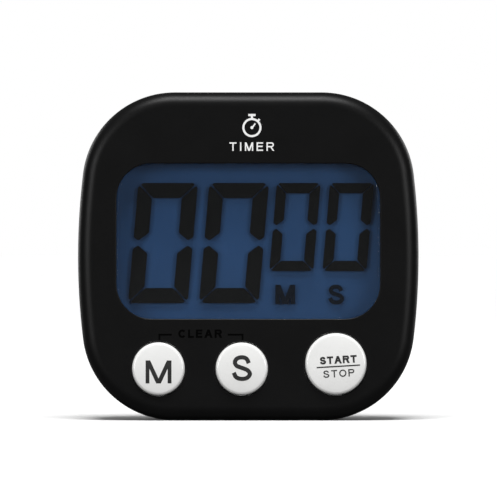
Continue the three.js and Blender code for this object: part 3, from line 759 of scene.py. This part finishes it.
_, LID_HIGH = extent("battery_cover")
STAND_LOW, STAND_HIGH = extent("kickstand")
LID_HALF = LID_HIGH.x + LID["gap"]
LID_TOP = LID_HIGH.z + LID["gap"]
LID_BOTTOM = 9.5
LID_FRONT = 18.8
STAND_HALF = STAND_HIGH.x - STAND["reach"]
STAND_FRONT = STAND_LOW.y
STAND_AXIS = (STAND_FRONT + BACK) / 2
STAND_HINGE = STAND_HIGH.z - (BACK - STAND_FRONT) / 2
RECESS_FLOOR = STAND_FRONT - STAND["floor_gap"]
BAY_MIDDLE = sum(extent("battery_cell")[i].z for i in (0, 1)) / 2
BAY_BOTTOM = BAY_MIDDLE - BAY["half"]
BAY_TOP = BAY_MIDDLE + BAY["half"]
LID_SEAT = rounded_rectangle(-LID_HALF, LID_HALF, LID_BOTTOM, LID_TOP, LID["corner"])
IN_WALL = BACK - 0.5


def rear_shell():
    floor = BACK - BACK_WALL
    seam = PARTING + SEAM_GAP
    root = seam + TONGUE["root"]
    lip = PARTING - TONGUE["reach"]
    return swept(body_outline, [
        (SIDE_WALL + INNER_FILLET, floor),
        (SIDE_WALL, floor - INNER_FILLET),
        (SIDE_WALL, root),
        (TONGUE["inside"], root),
        (TONGUE["inside"], lip),
        (TONGUE["outside"], lip),
        (TONGUE["outside"], seam),
        *rim(SEAM_EDGE, seam),
        *rim(FILLET, BACK, -1)[::-1],
    ])


def recess_walls():
    half = STAND_HALF + STAND["gap"] + 1.8
    bottom = STAND_LOW.z - STAND["gap"] - 1.2
    top = STAND_HIGH.z + STAND["gap"] + 1.2
    return box(-half, half, RECESS_FLOOR - 1.2, IN_WALL, bottom, top)


def buzzer_ring():
    ring = swept(circle(0, BUZZER["z"], BUZZER["outer"]), [(0, BUZZER["top"]), (0, RECESS_FLOOR - 0.6)])
    seat = swept(circle(0, BUZZER["z"], BUZZER["bore"]), [(0, BUZZER["top"] - BEYOND), (0, BUZZER["seat"])])
    bore = swept(circle(0, BUZZER["z"], BUZZER["ledge"]), [(0, BUZZER["top"]), (0, RECESS_FLOOR)])
    return cut(ring, [seat, bore])


def stand_openings():
    half = STAND_HALF + STAND["gap"]
    outline = rounded_rectangle(
        -half, half, STAND_LOW.z - STAND["gap"], STAND_HIGH.z + STAND["gap"], STAND["corner"],
    )
    recess = drilled(outline, BACK, RECESS_FLOOR, MOUTH, -1)
    reach = half + STAND["reach"]
    bore = STAND["pin_hole"]
    pin_hole = turned_along_x([(bore, -reach), (bore, reach)], STAND_AXIS, STAND_HINGE)
    return [recess, pin_hole]


def sound_holes():
    places = [(0, BUZZER["z"])] + arc(0, BUZZER["z"], BUZZER["pitch"], 0, 300, 60)
    return [
        drilled(circle(x, z, BUZZER["hole"], 32), RECESS_FLOOR, BUZZER["seat"], MOUTH, -1)
        for x, z in places
    ]


def bay_openings():
    seat = drilled(LID_SEAT, BACK, LID_FRONT - 0.05, MOUTH, -1)
    bay = box(BAY["left"], BAY["right"], BAY["floor"], BACK, BAY_BOTTOM, BAY_TOP)
    scoop = drilled(circle(0, LID_TOP + 1, LID["scoop"]), BACK, LID_FRONT + 0.4, MOUTH, -1)
    slots = []
    for side in (-1, 1):
        middle = side * HOOK["x"]
        half = HOOK["width"] / 2 + 0.4
        slots.append(
            box(middle - half, middle + half, BACK - HOOK["swing"], LID_FRONT, LID_BOTTOM, BAY_BOTTOM + 1)
        )
    for name in ("positive", "negative"):
        low, high = extent(f"battery_contact_{name}")
        slots.append(box(low.x - 0.3, low.x + 0.6, 8.9, 11.5, BAY_BOTTOM - BAY["wall"] - 1, BAY_BOTTOM + 1))
    return [seat, bay, scoop, *slots]


def magnet_places():
    places = []
    for side in ("left", "right"):
        low, high = extent(f"magnet_{side}")
        x, z = middle_of(f"magnet_{side}")
        places.append((side, x, z, (high.x - low.x) / 2, low.y, high.y))
    return places


def rear_case():
    seam = PARTING + SEAM_GAP
    parts = [
        box(
            BAY["left"] - BAY["wall"], BAY["right"] + BAY["wall"], BAY["floor"] - 0.8, IN_WALL,
            BAY_BOTTOM - BAY["wall"], BAY_TOP + BAY["wall"],
        ),
        recess_walls(),
        buzzer_ring(),
    ]
    openings = bay_openings() + stand_openings() + sound_holes()
    for _, x, z, radius, front, _ in magnet_places():
        cup = circle(x, z, radius + MAGNET["wall"])
        parts.append(swept(cup, [(0, front - MAGNET["floor"]), (0, IN_WALL)]))
        openings.append(drilled(circle(x, z, radius + MAGNET["gap"]), BACK, front - 0.05, MOUTH, -1))
    for x, z in CASE_SCREWS:
        parts.append(swept(circle(x, z, SCREW["tube"], 48), [(0, seam), (0, IN_WALL)]))
        head_hole = circle(x, z, SCREW["head"] + 0.2, 48)
        openings.append(drilled(head_hole, BACK, SCREW["seat"] - 0.05, SCREW_MOUTH, -1))
        openings.append(swept(circle(x, z, SCREW["shank"] + 0.25, 32), [(0, seam - 1), (0, SCREW["seat"])]))
    return cut(join(rear_shell(), parts), openings)


def battery_lid():
    gap = LID["gap"]
    half = LID_HALF - gap
    outline = rounded_rectangle(-half, half, LID_BOTTOM + gap, LID_TOP - gap, LID["corner"])
    panel = slab(outline, LID_FRONT, BACK, 0.2)
    hooks, openings = [], []
    heel = LID_BOTTOM + gap + 0.1
    for side in (-1, 1):
        left = side * HOOK["x"] - HOOK["width"] / 2
        right = left + HOOK["width"]
        hooks.append(box(left, right, HOOK["front"], LID_FRONT + 0.5, heel, HOOK["leg_top"]))
        hooks.append(box(left, right, HOOK["front"], HOOK["back"], HOOK["tip"], HOOK["leg_top"]))
        middle = side * LID["slot_x"]
        half = LID["slot"] / 2
        start = LID_TOP - LID["slot_length"]
        openings.append(box(middle - half, middle + half, LID_FRONT - 1, BACK + 1, start, LID_TOP + 1))
    for row in range(3):
        top = LID_TOP - 1.5 - 1.2 * row
        groove = rounded_rectangle(-LID["grip"], LID["grip"], top - 0.5, top, 0.24)
        openings.append(drilled(groove, BACK, BACK - 0.35, 0.1, -1))
    openings.append(lid_arrow())
    join(panel, hooks)
    return cut(panel, openings)


def lid_arrow():
    """A shallow triangle that points at the edge that a fingertip lifts."""
    base = LID_TOP - 7.6
    corners = [(-1.6, base), (1.6, base), (0, base + 1.9)]
    return skin([[(x, depth, z) for x, z in softened(corners, 0.3)] for depth in (BACK - 0.2, BACK + 1)])


def fold_out_stand():
    outline = rounded_rectangle(-STAND_HALF, STAND_HALF, STAND_LOW.z, STAND_HIGH.z, 0.6)
    flap = slab(outline, STAND_FRONT, BACK, 0.25)
    pins = []
    for side in (-1, 1):
        inner, outer = side * (STAND_HALF - 1), side * (STAND_HALF + STAND["reach"])
        chamfer = side * 0.15
        profile = [(STAND["pin"], inner), (STAND["pin"], outer - chamfer), (STAND["pin"] - 0.15, outer)]
        pins.append(turned_along_x(profile, STAND_AXIS, STAND_HINGE))
    notch = swept(
        circle(0, STAND_LOW.z, STAND["notch"]),
        [(-0.25, STAND_FRONT - BEYOND), *rim(0.25, STAND_FRONT, 1, -1), *rim(0.25, BACK, -1, -1)[::-1],
         (-0.25, BACK + BEYOND)],
    )
    return cut(join(flap, pins), [notch])


def magnet_disc(x, z, radius, front, back):
    return slab(circle(x, z, radius), front, back, MAGNET["edge"])


LARGE_HEAD = 1.9
THREAD = {"pitch": 0.6, "point": 0.9, "plain": 0.4, "tip": 0.3, "root": 0.78, "crest": 0.45, "end": 0.9}
# Shares of the head's radius, except for rim and recess, which are shares of its height.
HEAD = {"large": 0.75, "small": 0.65, "rim": 0.4, "recess": 0.62, "arm": 0.55, "arm_half": 0.14}
HEAD_STEP = 15
HEAD_TOP_RADIUS = 0.1


def screw_thread(low, seat, shank):
    """The profile of a threaded shank from its point up to the seat of the head."""
    root, pitch = THREAD["root"] * shank, THREAD["pitch"]
    first = low + THREAD["point"]
    profile = [(THREAD["tip"] * shank, low), (root, first)]
    for turn in range(int((seat - THREAD["plain"] - first) / pitch)):
        start = first + pitch * turn
        profile += [(shank, start + THREAD["crest"] * pitch), (root, start + THREAD["end"] * pitch)]
    return profile + [(root, seat)]


def pan_head(seat, radius, height):
    """The profile of a screw's head: an upright rim and a round top."""
    rim = HEAD["rim"] * height
    profile = [(radius, seat), (radius, seat + rim)]
    for degrees in range(HEAD_STEP, 91, HEAD_STEP):
        angle = math.radians(degrees)
        profile.append((
            max(radius * math.cos(angle), HEAD_TOP_RADIUS),
            seat + rim + (height - rim) * math.sin(angle),
        ))
    return profile


def cross_screw(node, head_radius):
    """A pan-head screw with a cross recess and a threaded shank, in the space of its CAD node."""
    low, high = extent(node)
    x, z = middle_of(node)
    large = head_radius > LARGE_HEAD
    height = HEAD["large" if large else "small"] * head_radius
    shank = (SCREW if large else BOARD_SCREW)["shank"]
    seat = high.y - height
    profile = screw_thread(low.y, seat, shank) + pan_head(seat, head_radius, height)
    body = swept(circle(x, z, head_radius, 48), [(head_radius - r, depth) for r, depth in profile])
    long, short = HEAD["arm"] * head_radius, HEAD["arm_half"] * head_radius
    deep = high.y - HEAD["recess"] * height
    return cut(body, [
        box(x - long, x + long, deep, high.y + 1, z - short, z + short),
        box(x - short, x + short, deep, high.y + 1, z - long, z + long),
    ])


# ---------------------------------------------------------------- the battery

def battery():
    low, high = extent("battery_cell")
    radius = (high.z - low.z) / 2
    depth = (low.y + high.y) / 2
    nub = 1.9
    shoulder = high.x - 1.0
    profile = [
        (2.6, low.x),
        (3.9, low.x),
        (4.1, low.x + 0.25),
        (4.4, low.x + 0.25),
        (4.6, low.x),
        (radius - 0.15, low.x),
        (radius, low.x + 0.2),
        (radius, shoulder - 0.3),
        (radius - 0.3, shoulder),
        (4.2, shoulder),
        (4.0, shoulder - 0.2),
        (nub + 0.2, shoulder - 0.2),
        (nub, shoulder),
        (nub, high.x - 0.2),
        (nub - 0.2, high.x),
    ]
    return turned_along_x(profile, depth, BAY_MIDDLE)


def tube(points, radius, steps=12):
    """A round wire along points, with flat ends."""
    rings = []
    for i, point in enumerate(points):
        here = Vector(point)
        ahead = Vector(points[min(i + 1, len(points) - 1)]) - Vector(points[max(i - 1, 0)])
        ahead.normalize()
        side = ahead.cross(Vector((0.3, 0.1, 0.95))).normalized()
        up = side.cross(ahead)
        ring = [side * u + up * v for u, v in arc(0, 0, radius, 0, 360, 360 / steps)[:-1]]
        rings.append([tuple(here + offset) for offset in ring])
    return skin(rings)


def battery_coil():
    """The negative contact's spring: three turns that narrow towards the cell."""
    low, high = extent("battery_spring")
    wire = 0.35
    turns, steps = 3, 96
    depth = sum(extent("battery_cell")[i].y for i in (0, 1)) / 2
    start, end = low.x + wire, high.x - wire
    points = []
    for step in range(steps + 1):
        along = step / steps
        angle = 2 * math.pi * turns * along
        radius = 3.8 - 1.5 * along
        x = start + (end - start) * along
        points.append((x, depth + radius * math.cos(angle), BAY_MIDDLE + radius * math.sin(angle)))
    return tube(points, wire)


# ---------------------------------------------------------------- materials

class Nodes:
    """A new material's node tree, with short ways to add and link its nodes."""

    def __init__(self, name):
        self.material = bpy.data.materials.new(name)
        self.material.use_nodes = True
        self.tree = self.material.node_tree
        self.shader = self.tree.nodes["Principled BSDF"]
        self.output = self.tree.nodes["Material Output"]
        self.place = self.add("ShaderNodeTexCoord").outputs["Object"]

    def add(self, kind, **values):
        node = self.tree.nodes.new(kind)
        for name, value in values.items():
            setattr(node, name, value)
        return node

    def link(self, source, target):
        self.tree.links.new(source, target)

    def noise(self, grain, detail=3.0, stretch=(1, 1, 1)):
        """Noise with a grain in millimetres, from 0 to 1."""
        mapping = self.add("ShaderNodeMapping")
        mapping.inputs["Scale"].default_value = stretch
        self.link(self.place, mapping.inputs["Vector"])
        noise = self.add("ShaderNodeTexNoise")
        noise.inputs["Scale"].default_value = MILLIMETRE / grain
        noise.inputs["Detail"].default_value = detail
        self.link(mapping.outputs["Vector"], noise.inputs["Vector"])
        return noise.outputs["Fac"]

    def ranged(self, value, low, high, start=0.3, end=0.7):
        """A value from start to end, carried to low to high."""
        ramp = self.add("ShaderNodeMapRange")
        self.link(value, ramp.inputs["Value"])
        ramp.inputs["From Min"].default_value = start
        ramp.inputs["From Max"].default_value = end
        ramp.inputs["To Min"].default_value = low
        ramp.inputs["To Max"].default_value = high
        return ramp.outputs["Result"]

    def blended(self, value, first, second):
        """A colour between two, by a value from 0 to 1; each is a colour or a socket."""
        mix = self.add("ShaderNodeMix", data_type="RGBA")
        self.link(value, mix.inputs["Factor"])
        for socket, colour in ((mix.inputs["A"], first), (mix.inputs["B"], second)):
            if isinstance(colour, tuple):
                socket.default_value = (*colour, 1)
            else:
                self.link(colour, socket)
        return mix.outputs["Result"]

    def along(self, axis):
        """The X, Y or Z of the place, in metres."""
        split = self.add("ShaderNodeSeparateXYZ")
        self.link(self.place, split.inputs["Vector"])
        return split.outputs[axis]

    def bump(self, value, height, strength=1.0):
        """Raises the surface by a height in millimetres where the value is 1."""
        bump = self.add("ShaderNodeBump")
        bump.inputs["Distance"].default_value = height * MM
        bump.inputs["Strength"].default_value = strength
        self.link(value, bump.inputs["Height"])
        self.link(bump.outputs["Normal"], self.shader.inputs["Normal"])

    def finish(self, colour, roughness, **constants):
        """Links the colour and roughness, and sets the shader's other sockets to plain numbers."""
        self.link(colour, self.shader.inputs["Base Color"])
        self.link(roughness, self.shader.inputs["Roughness"])
        for name, value in constants.items():
            self.shader.inputs[name.replace("_", " ")].default_value = value
        return self.material


def grained(name, dark, light, rough, patch, grain, height, stretch=(1, 1, 1), **constants):
    """A finish that varies in patches between two colours and two roughnesses, over a fine raised grain."""
    nodes = Nodes(name)
    patches = nodes.ranged(nodes.noise(patch), 0, 1)
    fine = nodes.noise(grain, 2.0, stretch)
    nodes.bump(fine, height)
    colour = nodes.blended(patches, dark, light)
    return nodes.finish(colour, nodes.ranged(fine, *rough), **constants)


def case_plastic():
    """Black ABS from a spark-eroded mould: a very fine even grain, and almost no colour of its own."""
    return grained(
        "case_plastic", (0.0034, 0.0034, 0.0035), (0.0044, 0.0044, 0.0045), (0.34, 0.44),
        patch=9, grain=0.22, height=0.005, Specular_IOR_Level=0.14,
    )


def button_plastic():
    return grained(
        "button_plastic", (0.80, 0.80, 0.79), (0.84, 0.84, 0.83), (0.16, 0.24),
        patch=4, grain=0.8, height=0.002, Coat_Weight=0.4, Coat_Roughness=0.08,
    )


def clear_sheet(name, tint, haze, mirror):
    """A clear sheet: what is behind it shows unbent, and it mirrors a little, more at a glancing angle."""
    nodes = Nodes(name)
    tree = nodes.tree
    through = nodes.add("ShaderNodeBsdfTransparent")
    patches = nodes.ranged(nodes.noise(12), 0, 1)
    nodes.link(nodes.blended(patches, tint, tuple(c * 0.985 for c in tint)), through.inputs["Color"])
    gloss = nodes.add("ShaderNodeBsdfGlossy")
    nodes.link(nodes.ranged(nodes.noise(3), *haze), gloss.inputs["Roughness"])
    facing = nodes.add("ShaderNodeLayerWeight")
    facing.inputs["Blend"].default_value = 0.5
    glancing = nodes.add("ShaderNodeMath", operation="POWER")
    nodes.link(facing.outputs["Facing"], glancing.inputs[0])
    glancing.inputs[1].default_value = 5
    mix = nodes.add("ShaderNodeMixShader")
    nodes.link(nodes.ranged(glancing.outputs["Value"], mirror, 0.7, 0, 1), mix.inputs["Fac"])
    nodes.link(through.outputs["BSDF"], mix.inputs[1])
    nodes.link(gloss.outputs["BSDF"], mix.inputs[2])
    nodes.link(mix.outputs["Shader"], nodes.output.inputs["Surface"])
    tree.nodes.remove(nodes.shader)
    return nodes.material


def lcd_background():
    """The blue rear film: a little greyer towards the right, with a fine reflector grain."""
    nodes = Nodes("lcd_blue_film")
    across = nodes.ranged(nodes.along("X"), 0, 1, -WIDTH / 2 * MM, WIDTH / 2 * MM)
    base = nodes.blended(across, (0.030, 0.097, 0.254), (0.027, 0.086, 0.218))
    fine = nodes.noise(1.2)
    colour = nodes.blended(nodes.ranged(fine, 0, 0.3), base, (0.033, 0.104, 0.272))
    nodes.bump(fine, 0.002)
    return nodes.finish(colour, nodes.ranged(fine, 0.4, 0.5), Specular_IOR_Level=0.3)


def zebra_rubber():
    """Conductive and insulating layers in turn, along the strip."""
    nodes = Nodes("zebra_rubber")
    wave = nodes.add("ShaderNodeTexWave", wave_type="BANDS", bands_direction="X")
    wave.inputs["Scale"].default_value = MILLIMETRE / 3
    nodes.link(nodes.place, wave.inputs["Vector"])
    colour = nodes.blended(wave.outputs["Fac"], (0.02, 0.02, 0.02), (0.5, 0.27, 0.25))
    nodes.bump(wave.outputs["Fac"], 0.02)
    return nodes.finish(colour, nodes.ranged(nodes.noise(0.5), 0.6, 0.8))


def board_laminate():
    """Green solder mask over copper runs, which show as slightly lighter raised lines."""
    nodes = Nodes("board_laminate")
    bricks = nodes.add("ShaderNodeTexBrick", offset=0.5)
    bricks.inputs["Scale"].default_value = MILLIMETRE / 7
    bricks.inputs["Mortar Size"].default_value = 0.02
    bricks.inputs["Mortar Smooth"].default_value = 0.2
    turn = nodes.add("ShaderNodeMapping")
    turn.inputs["Rotation"].default_value = (math.radians(90), 0, 0)
    nodes.link(nodes.place, turn.inputs["Vector"])
    nodes.link(turn.outputs["Vector"], bricks.inputs["Vector"])
    runs = bricks.outputs["Fac"]
    nodes.bump(runs, 0.035)
    colour = nodes.blended(runs, (0.008, 0.07, 0.028), (0.02, 0.14, 0.05))
    return nodes.finish(colour, nodes.ranged(nodes.noise(1.5), 0.28, 0.42))


CELL_METAL = (0.5, 0.5, 0.48)
# Where each colour starts along the cell, as a share of its length.
SLEEVE_BANDS = [
    (0.012, (0.045, 0.16, 0.075)), (0.74, CELL_METAL), (0.765, (0.03, 0.03, 0.032)), (0.962, CELL_METAL),
]
# Brighter than this a band counts as metal.
METAL_LEVEL = 0.3


def battery_wrap():
    """A printed sleeve: green, then a thin silver band and black, with bare metal at both ends."""
    nodes = Nodes("battery_wrap")
    low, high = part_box("battery_cell")
    along = nodes.ranged(nodes.along("X"), 0, 1, low.x, high.x)
    bands = nodes.add("ShaderNodeValToRGB")
    bands.color_ramp.interpolation = "CONSTANT"
    bands.color_ramp.elements[0].color = (*CELL_METAL, 1)
    bands.color_ramp.elements.remove(bands.color_ramp.elements[1])
    for position, colour in SLEEVE_BANDS:
        bands.color_ramp.elements.new(position).color = (*colour, 1)
    nodes.link(along, bands.inputs["Fac"])
    metal = nodes.add("ShaderNodeMath", operation="GREATER_THAN")
    nodes.link(bands.outputs["Color"], metal.inputs[0])
    metal.inputs[1].default_value = METAL_LEVEL
    nodes.link(metal.outputs["Value"], nodes.shader.inputs["Metallic"])
    fine = nodes.noise(0.6)
    nodes.bump(fine, 0.003)
    return nodes.finish(bands.outputs["Color"], nodes.ranged(fine, 0.26, 0.36))


def metal(name, dark, light, rough, grain=0.3, height=0.003, stretch=(1, 1, 1)):
    return grained(name, dark, light, rough, 3, grain, height, stretch, Metallic=1.0)


FINISHES = {
    "case_black": case_plastic(),
    "button_white": button_plastic(),
    "lens_clear": clear_sheet("lens_acrylic", (0.98, 0.985, 0.99), (0.02, 0.045), 0.03),
    "polariser_film": clear_sheet("polariser_film", (0.95, 0.96, 0.97), (0.12, 0.2), 0.006),
    "lcd_glass": clear_sheet("lcd_glass", (0.985, 0.99, 0.985), (0.02, 0.04), 0.004),
    "lcd_blue": lcd_background(),
    "zebra_rubber": zebra_rubber(),
    "board_green": board_laminate(),
    "battery_wrap": battery_wrap(),
    "magnet_metal": metal("magnet_nickel", (0.42, 0.42, 0.43), (0.52, 0.52, 0.52), (0.24, 0.36), 0.5, 0.006),
    "screw_steel": metal("screw_steel", (0.34, 0.34, 0.35), (0.48, 0.48, 0.48), (0.25, 0.4)),
    "can_metal": metal("can_metal", (0.5, 0.5, 0.51), (0.62, 0.62, 0.62), (0.2, 0.3)),
    "buzzer_brass": metal(
        "buzzer_brass", (0.48, 0.32, 0.1), (0.6, 0.42, 0.15), (0.25, 0.4), 0.4, 0.004, (1, 1, 6),
    ),
    "contact_nickel": metal("contact_nickel", (0.45, 0.43, 0.4), (0.58, 0.56, 0.52), (0.2, 0.34), 0.4, 0.004),
}

# Darker and lighter colour, range of roughness, size of the patches, and the grain's size and height.
GRAINED_FINISHES = {
    "silicone_grey": ((0.28, 0.285, 0.29), (0.34, 0.345, 0.35), (0.55, 0.7), 2, 0.3, 0.006),
    "carbon_rubber": ((0.006, 0.006, 0.006), (0.012, 0.012, 0.012), (0.65, 0.8), 1, 0.15, 0.01),
    "holder_plastic": ((0.02, 0.02, 0.022), (0.028, 0.028, 0.03), (0.5, 0.65), 6, 0.25, 0.008),
    "epoxy_black": ((0.004, 0.004, 0.004), (0.009, 0.009, 0.009), (0.2, 0.42), 2, 1.2, 0.03),
    "capacitor_sleeve": ((0.01, 0.02, 0.08), (0.014, 0.028, 0.11), (0.25, 0.35), 3, 0.6, 0.004),
    "resistor_body": ((0.012, 0.012, 0.015), (0.02, 0.02, 0.024), (0.35, 0.5), 0.8, 0.1, 0.004),
    "buzzer_ceramic": ((0.72, 0.68, 0.58), (0.8, 0.77, 0.68), (0.4, 0.6), 1.5, 0.12, 0.004),
    "wire_black": ((0.006, 0.006, 0.006), (0.01, 0.01, 0.01), (0.35, 0.5), 2, 0.3, 0.004),
    "wire_red": ((0.3, 0.012, 0.01), (0.4, 0.02, 0.015), (0.35, 0.5), 2, 0.3, 0.004),
}
for slot_name, look in GRAINED_FINISHES.items():
    FINISHES[slot_name] = grained(slot_name, *look)

INKS = {
    "digits": grained(
        "lcd_dark", (0.0012, 0.0014, 0.0014), (0.002, 0.0022, 0.0021), (0.5, 0.6), patch=3, grain=2,
        height=0.001, Specular_IOR_Level=0.1,
    ),
    "legends": grained(
        "lcd_legend_dark", (0.001, 0.004, 0.010), (0.0015, 0.005, 0.012), (0.5, 0.6), patch=2, grain=0.2,
        height=0.001, Specular_IOR_Level=0.1,
    ),
    "dark": grained(
        "ink_dark", (0.011, 0.011, 0.011), (0.016, 0.016, 0.016), (0.4, 0.55), patch=1, grain=0.12,
        height=0.003,
    ),
    "black": grained(
        "ink_black", (0.0004, 0.0005, 0.0004), (0.0008, 0.0008, 0.0008), (0.6, 0.75), patch=1, grain=0.12,
        height=0.003, Specular_IOR_Level=0.02,
    ),
    "white": grained(
        "ink_white", (0.84, 0.84, 0.83), (0.9, 0.9, 0.9), (0.45, 0.6), patch=1, grain=0.12, height=0.003,
    ),
}


# ---------------------------------------------------------------- the pieces in place

def add_case():
    black = FINISHES["case_black"]
    piece(front_case(), "front_case", "case", "case_black", black, "front_housing")
    piece(rear_case(), "rear_case", "case", "case_black", black, "rear_housing")
    piece(window_lens(), "window_lens", "case", "lens_clear", FINISHES["lens_clear"], "display_lens")
    piece(battery_lid(), "battery_lid", "cover", "case_black", black, "battery_cover")
    piece(fold_out_stand(), "fold_out_stand", "stand", "case_black", black, "kickstand")
    for side, *place in magnet_places():
        disc = magnet_disc(*place)
        piece(disc, f"magnet_disc_{side}", "case", "magnet_metal", FINISHES["magnet_metal"], f"magnet_{side}")
    for kind, radius in (("housing", 2.0), ("board", 1.7)):
        for i in range(1, 5):
            node = f"{kind}_screw_{i}"
            made = cross_screw(node, radius)
            piece(made, f"{kind}_cross_screw_{i}", "case", "screw_steel", FINISHES["screw_steel"], node)


def add_buttons():
    prints = {name: lettering(mark) for name, mark in BUTTON_MARKS.items()}
    prints["start_stop"] = start_stop_print()
    for name in BUTTON_NAMES:
        body = f"{name}_button"
        white = FINISHES["button_white"]
        piece(button(name), f"key_{name}", body, "button_white", white, f"button_{name}")
        piece(on_button(name, prints[name]), f"key_print_{name}", body, "button_white", INKS["dark"])
        dome = piece(
            rubber_dome(name), f"dome_{name}", "case", "silicone_grey", FINISHES["silicone_grey"],
            f"rubber_dome_{name}",
        )
        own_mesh(dome)


def add_display():
    piece(lcd_segments(), "lcd_segments", "case", "lcd_glass", INKS["digits"])
    piece(lcd_legends(), "lcd_legends", "case", "lcd_glass", INKS["legends"])


def add_printing():
    piece(clear_print(), "clear_print", "case", "case_black", INKS["black"])
    piece(stopwatch_print(), "stopwatch_print", "case", "button_white", INKS["white"])


def add_battery():
    piece(battery(), "battery", "case", "battery_wrap", FINISHES["battery_wrap"], "battery_cell")
    nickel = FINISHES["contact_nickel"]
    piece(battery_coil(), "battery_coil", "case", "contact_nickel", nickel, "battery_spring")


def dress_cad_nodes():
    """Gives each CAD node that still shows the finish of its material slot."""
    for part in frame["record"]["subparts"]:
        node = frame["nodes"][part["node"]]
        if node.hide_render:
            continue
        slot = part["material_slot"]
        node.data.materials.clear()
        node.data.materials.append(FINISHES[slot])


# ---------------------------------------------------------------- floor, light and camera

# Lengths here are in metres.
FLOOR_HALF = 30.0
FLOOR_BOUNCE = 0.12
WORLD_LIGHT = 0.11
SUN_ENERGY = 3.5
SUN_SPREAD = 30
SUN_DIRECTION = (0, 0.35, -0.94)
SOFTBOX_SIZE = 0.6
SOFTBOXES = {
    "softbox_left": ((-0.9, -1.0, 0.2), 7.5),
    "softbox_right": ((0.9, -1.0, 0.2), 7.5),
    "softbox_back_left": ((-0.9, 1.0, 0.3), 3),
    "softbox_back_right": ((0.9, 1.0, 0.3), 3),
}
CAMERA_DISTANCE = 1.2
VIEW_WIDTH = 0.10277
VIEW_X = 0.00004
VIEW_RISE = 0.0013
SENSOR_WIDTH = 36


def add_floor():
    """White paper. It throws little light back, so that black plastic above it stays black."""
    nodes = Nodes("floor_paper")
    fine = nodes.noise(30)
    seen = nodes.blended(nodes.ranged(fine, 0, 1), (0.86, 0.86, 0.86), (0.88, 0.88, 0.88))
    camera_ray = nodes.add("ShaderNodeLightPath").outputs["Is Camera Ray"]
    colour = nodes.blended(camera_ray, (FLOOR_BOUNCE,) * 3, seen)
    nodes.finish(colour, nodes.ranged(fine, 0.7, 0.8), Specular_IOR_Level=0)
    mesh = bpy.data.meshes.new("floor")
    corners = [(-1, -1), (1, -1), (1, 1), (-1, 1)]
    mesh.from_pydata([(x * FLOOR_HALF, y * FLOOR_HALF, 0) for x, y in corners], [], [(0, 1, 2, 3)])
    mesh.materials.append(nodes.material)
    floor = bpy.data.objects.new("floor", mesh)
    bpy.context.scene.collection.objects.link(floor)


def add_sun():
    """A wide soft source high in front, which lights the whole floor evenly."""
    data = bpy.data.lights.new("overhead", "SUN")
    data.energy = SUN_ENERGY
    data.angle = math.radians(SUN_SPREAD)
    light = bpy.data.objects.new("overhead", data)
    light.rotation_euler = Vector(SUN_DIRECTION).to_track_quat("-Z", "Y").to_euler()
    bpy.context.scene.collection.objects.link(light)


def add_softbox(name, place, power):
    """A square softbox that faces the timer."""
    data = bpy.data.lights.new(name, "AREA")
    data.size = SOFTBOX_SIZE
    data.energy = power
    light = bpy.data.objects.new(name, data)
    light.location = place
    target = Vector((0, 0, MIDDLE * MM))
    light.rotation_euler = (target - light.location).to_track_quat("-Z", "Y").to_euler()
    light.visible_camera = False
    bpy.context.scene.collection.objects.link(light)


def add_world():
    """Even grey light from all round, which the camera itself sees as white."""
    world = bpy.data.worlds.new("studio")
    world.use_nodes = True
    tree = world.node_tree
    background = tree.nodes["Background"]
    background.inputs["Color"].default_value = (1, 1, 1, 1)
    path = tree.nodes.new("ShaderNodeLightPath")
    strength = tree.nodes.new("ShaderNodeMapRange")
    strength.inputs["To Min"].default_value = WORLD_LIGHT
    strength.inputs["To Max"].default_value = 1.0
    tree.links.new(path.outputs["Is Camera Ray"], strength.inputs["Value"])
    tree.links.new(strength.outputs["Result"], background.inputs["Strength"])
    bpy.context.scene.world = world


def add_camera():
    """Straight on, from far enough away that the case shows almost no perspective."""
    data = bpy.data.cameras.new("camera")
    data.sensor_width = SENSOR_WIDTH
    data.lens = SENSOR_WIDTH * CAMERA_DISTANCE / VIEW_WIDTH
    data.clip_end = 100
    camera = bpy.data.objects.new("camera", data)
    camera.location = (VIEW_X, FRONT * MM + FILLET * MM - CAMERA_DISTANCE, MIDDLE * MM + VIEW_RISE)
    camera.rotation_euler = (math.radians(90), 0, 0)
    bpy.context.scene.collection.objects.link(camera)
    bpy.context.scene.camera = camera


def add_stage():
    add_floor()
    add_world()
    add_sun()
    for name, (place, power) in SOFTBOXES.items():
        add_softbox(name, place, power)
    add_camera()
    scene = bpy.context.scene
    scene.view_settings.view_transform = "Standard"
    scene.cycles.transparent_max_bounces = 32


add_case()
add_buttons()
add_display()
add_printing()
add_battery()
dress_cad_nodes()
add_stage()
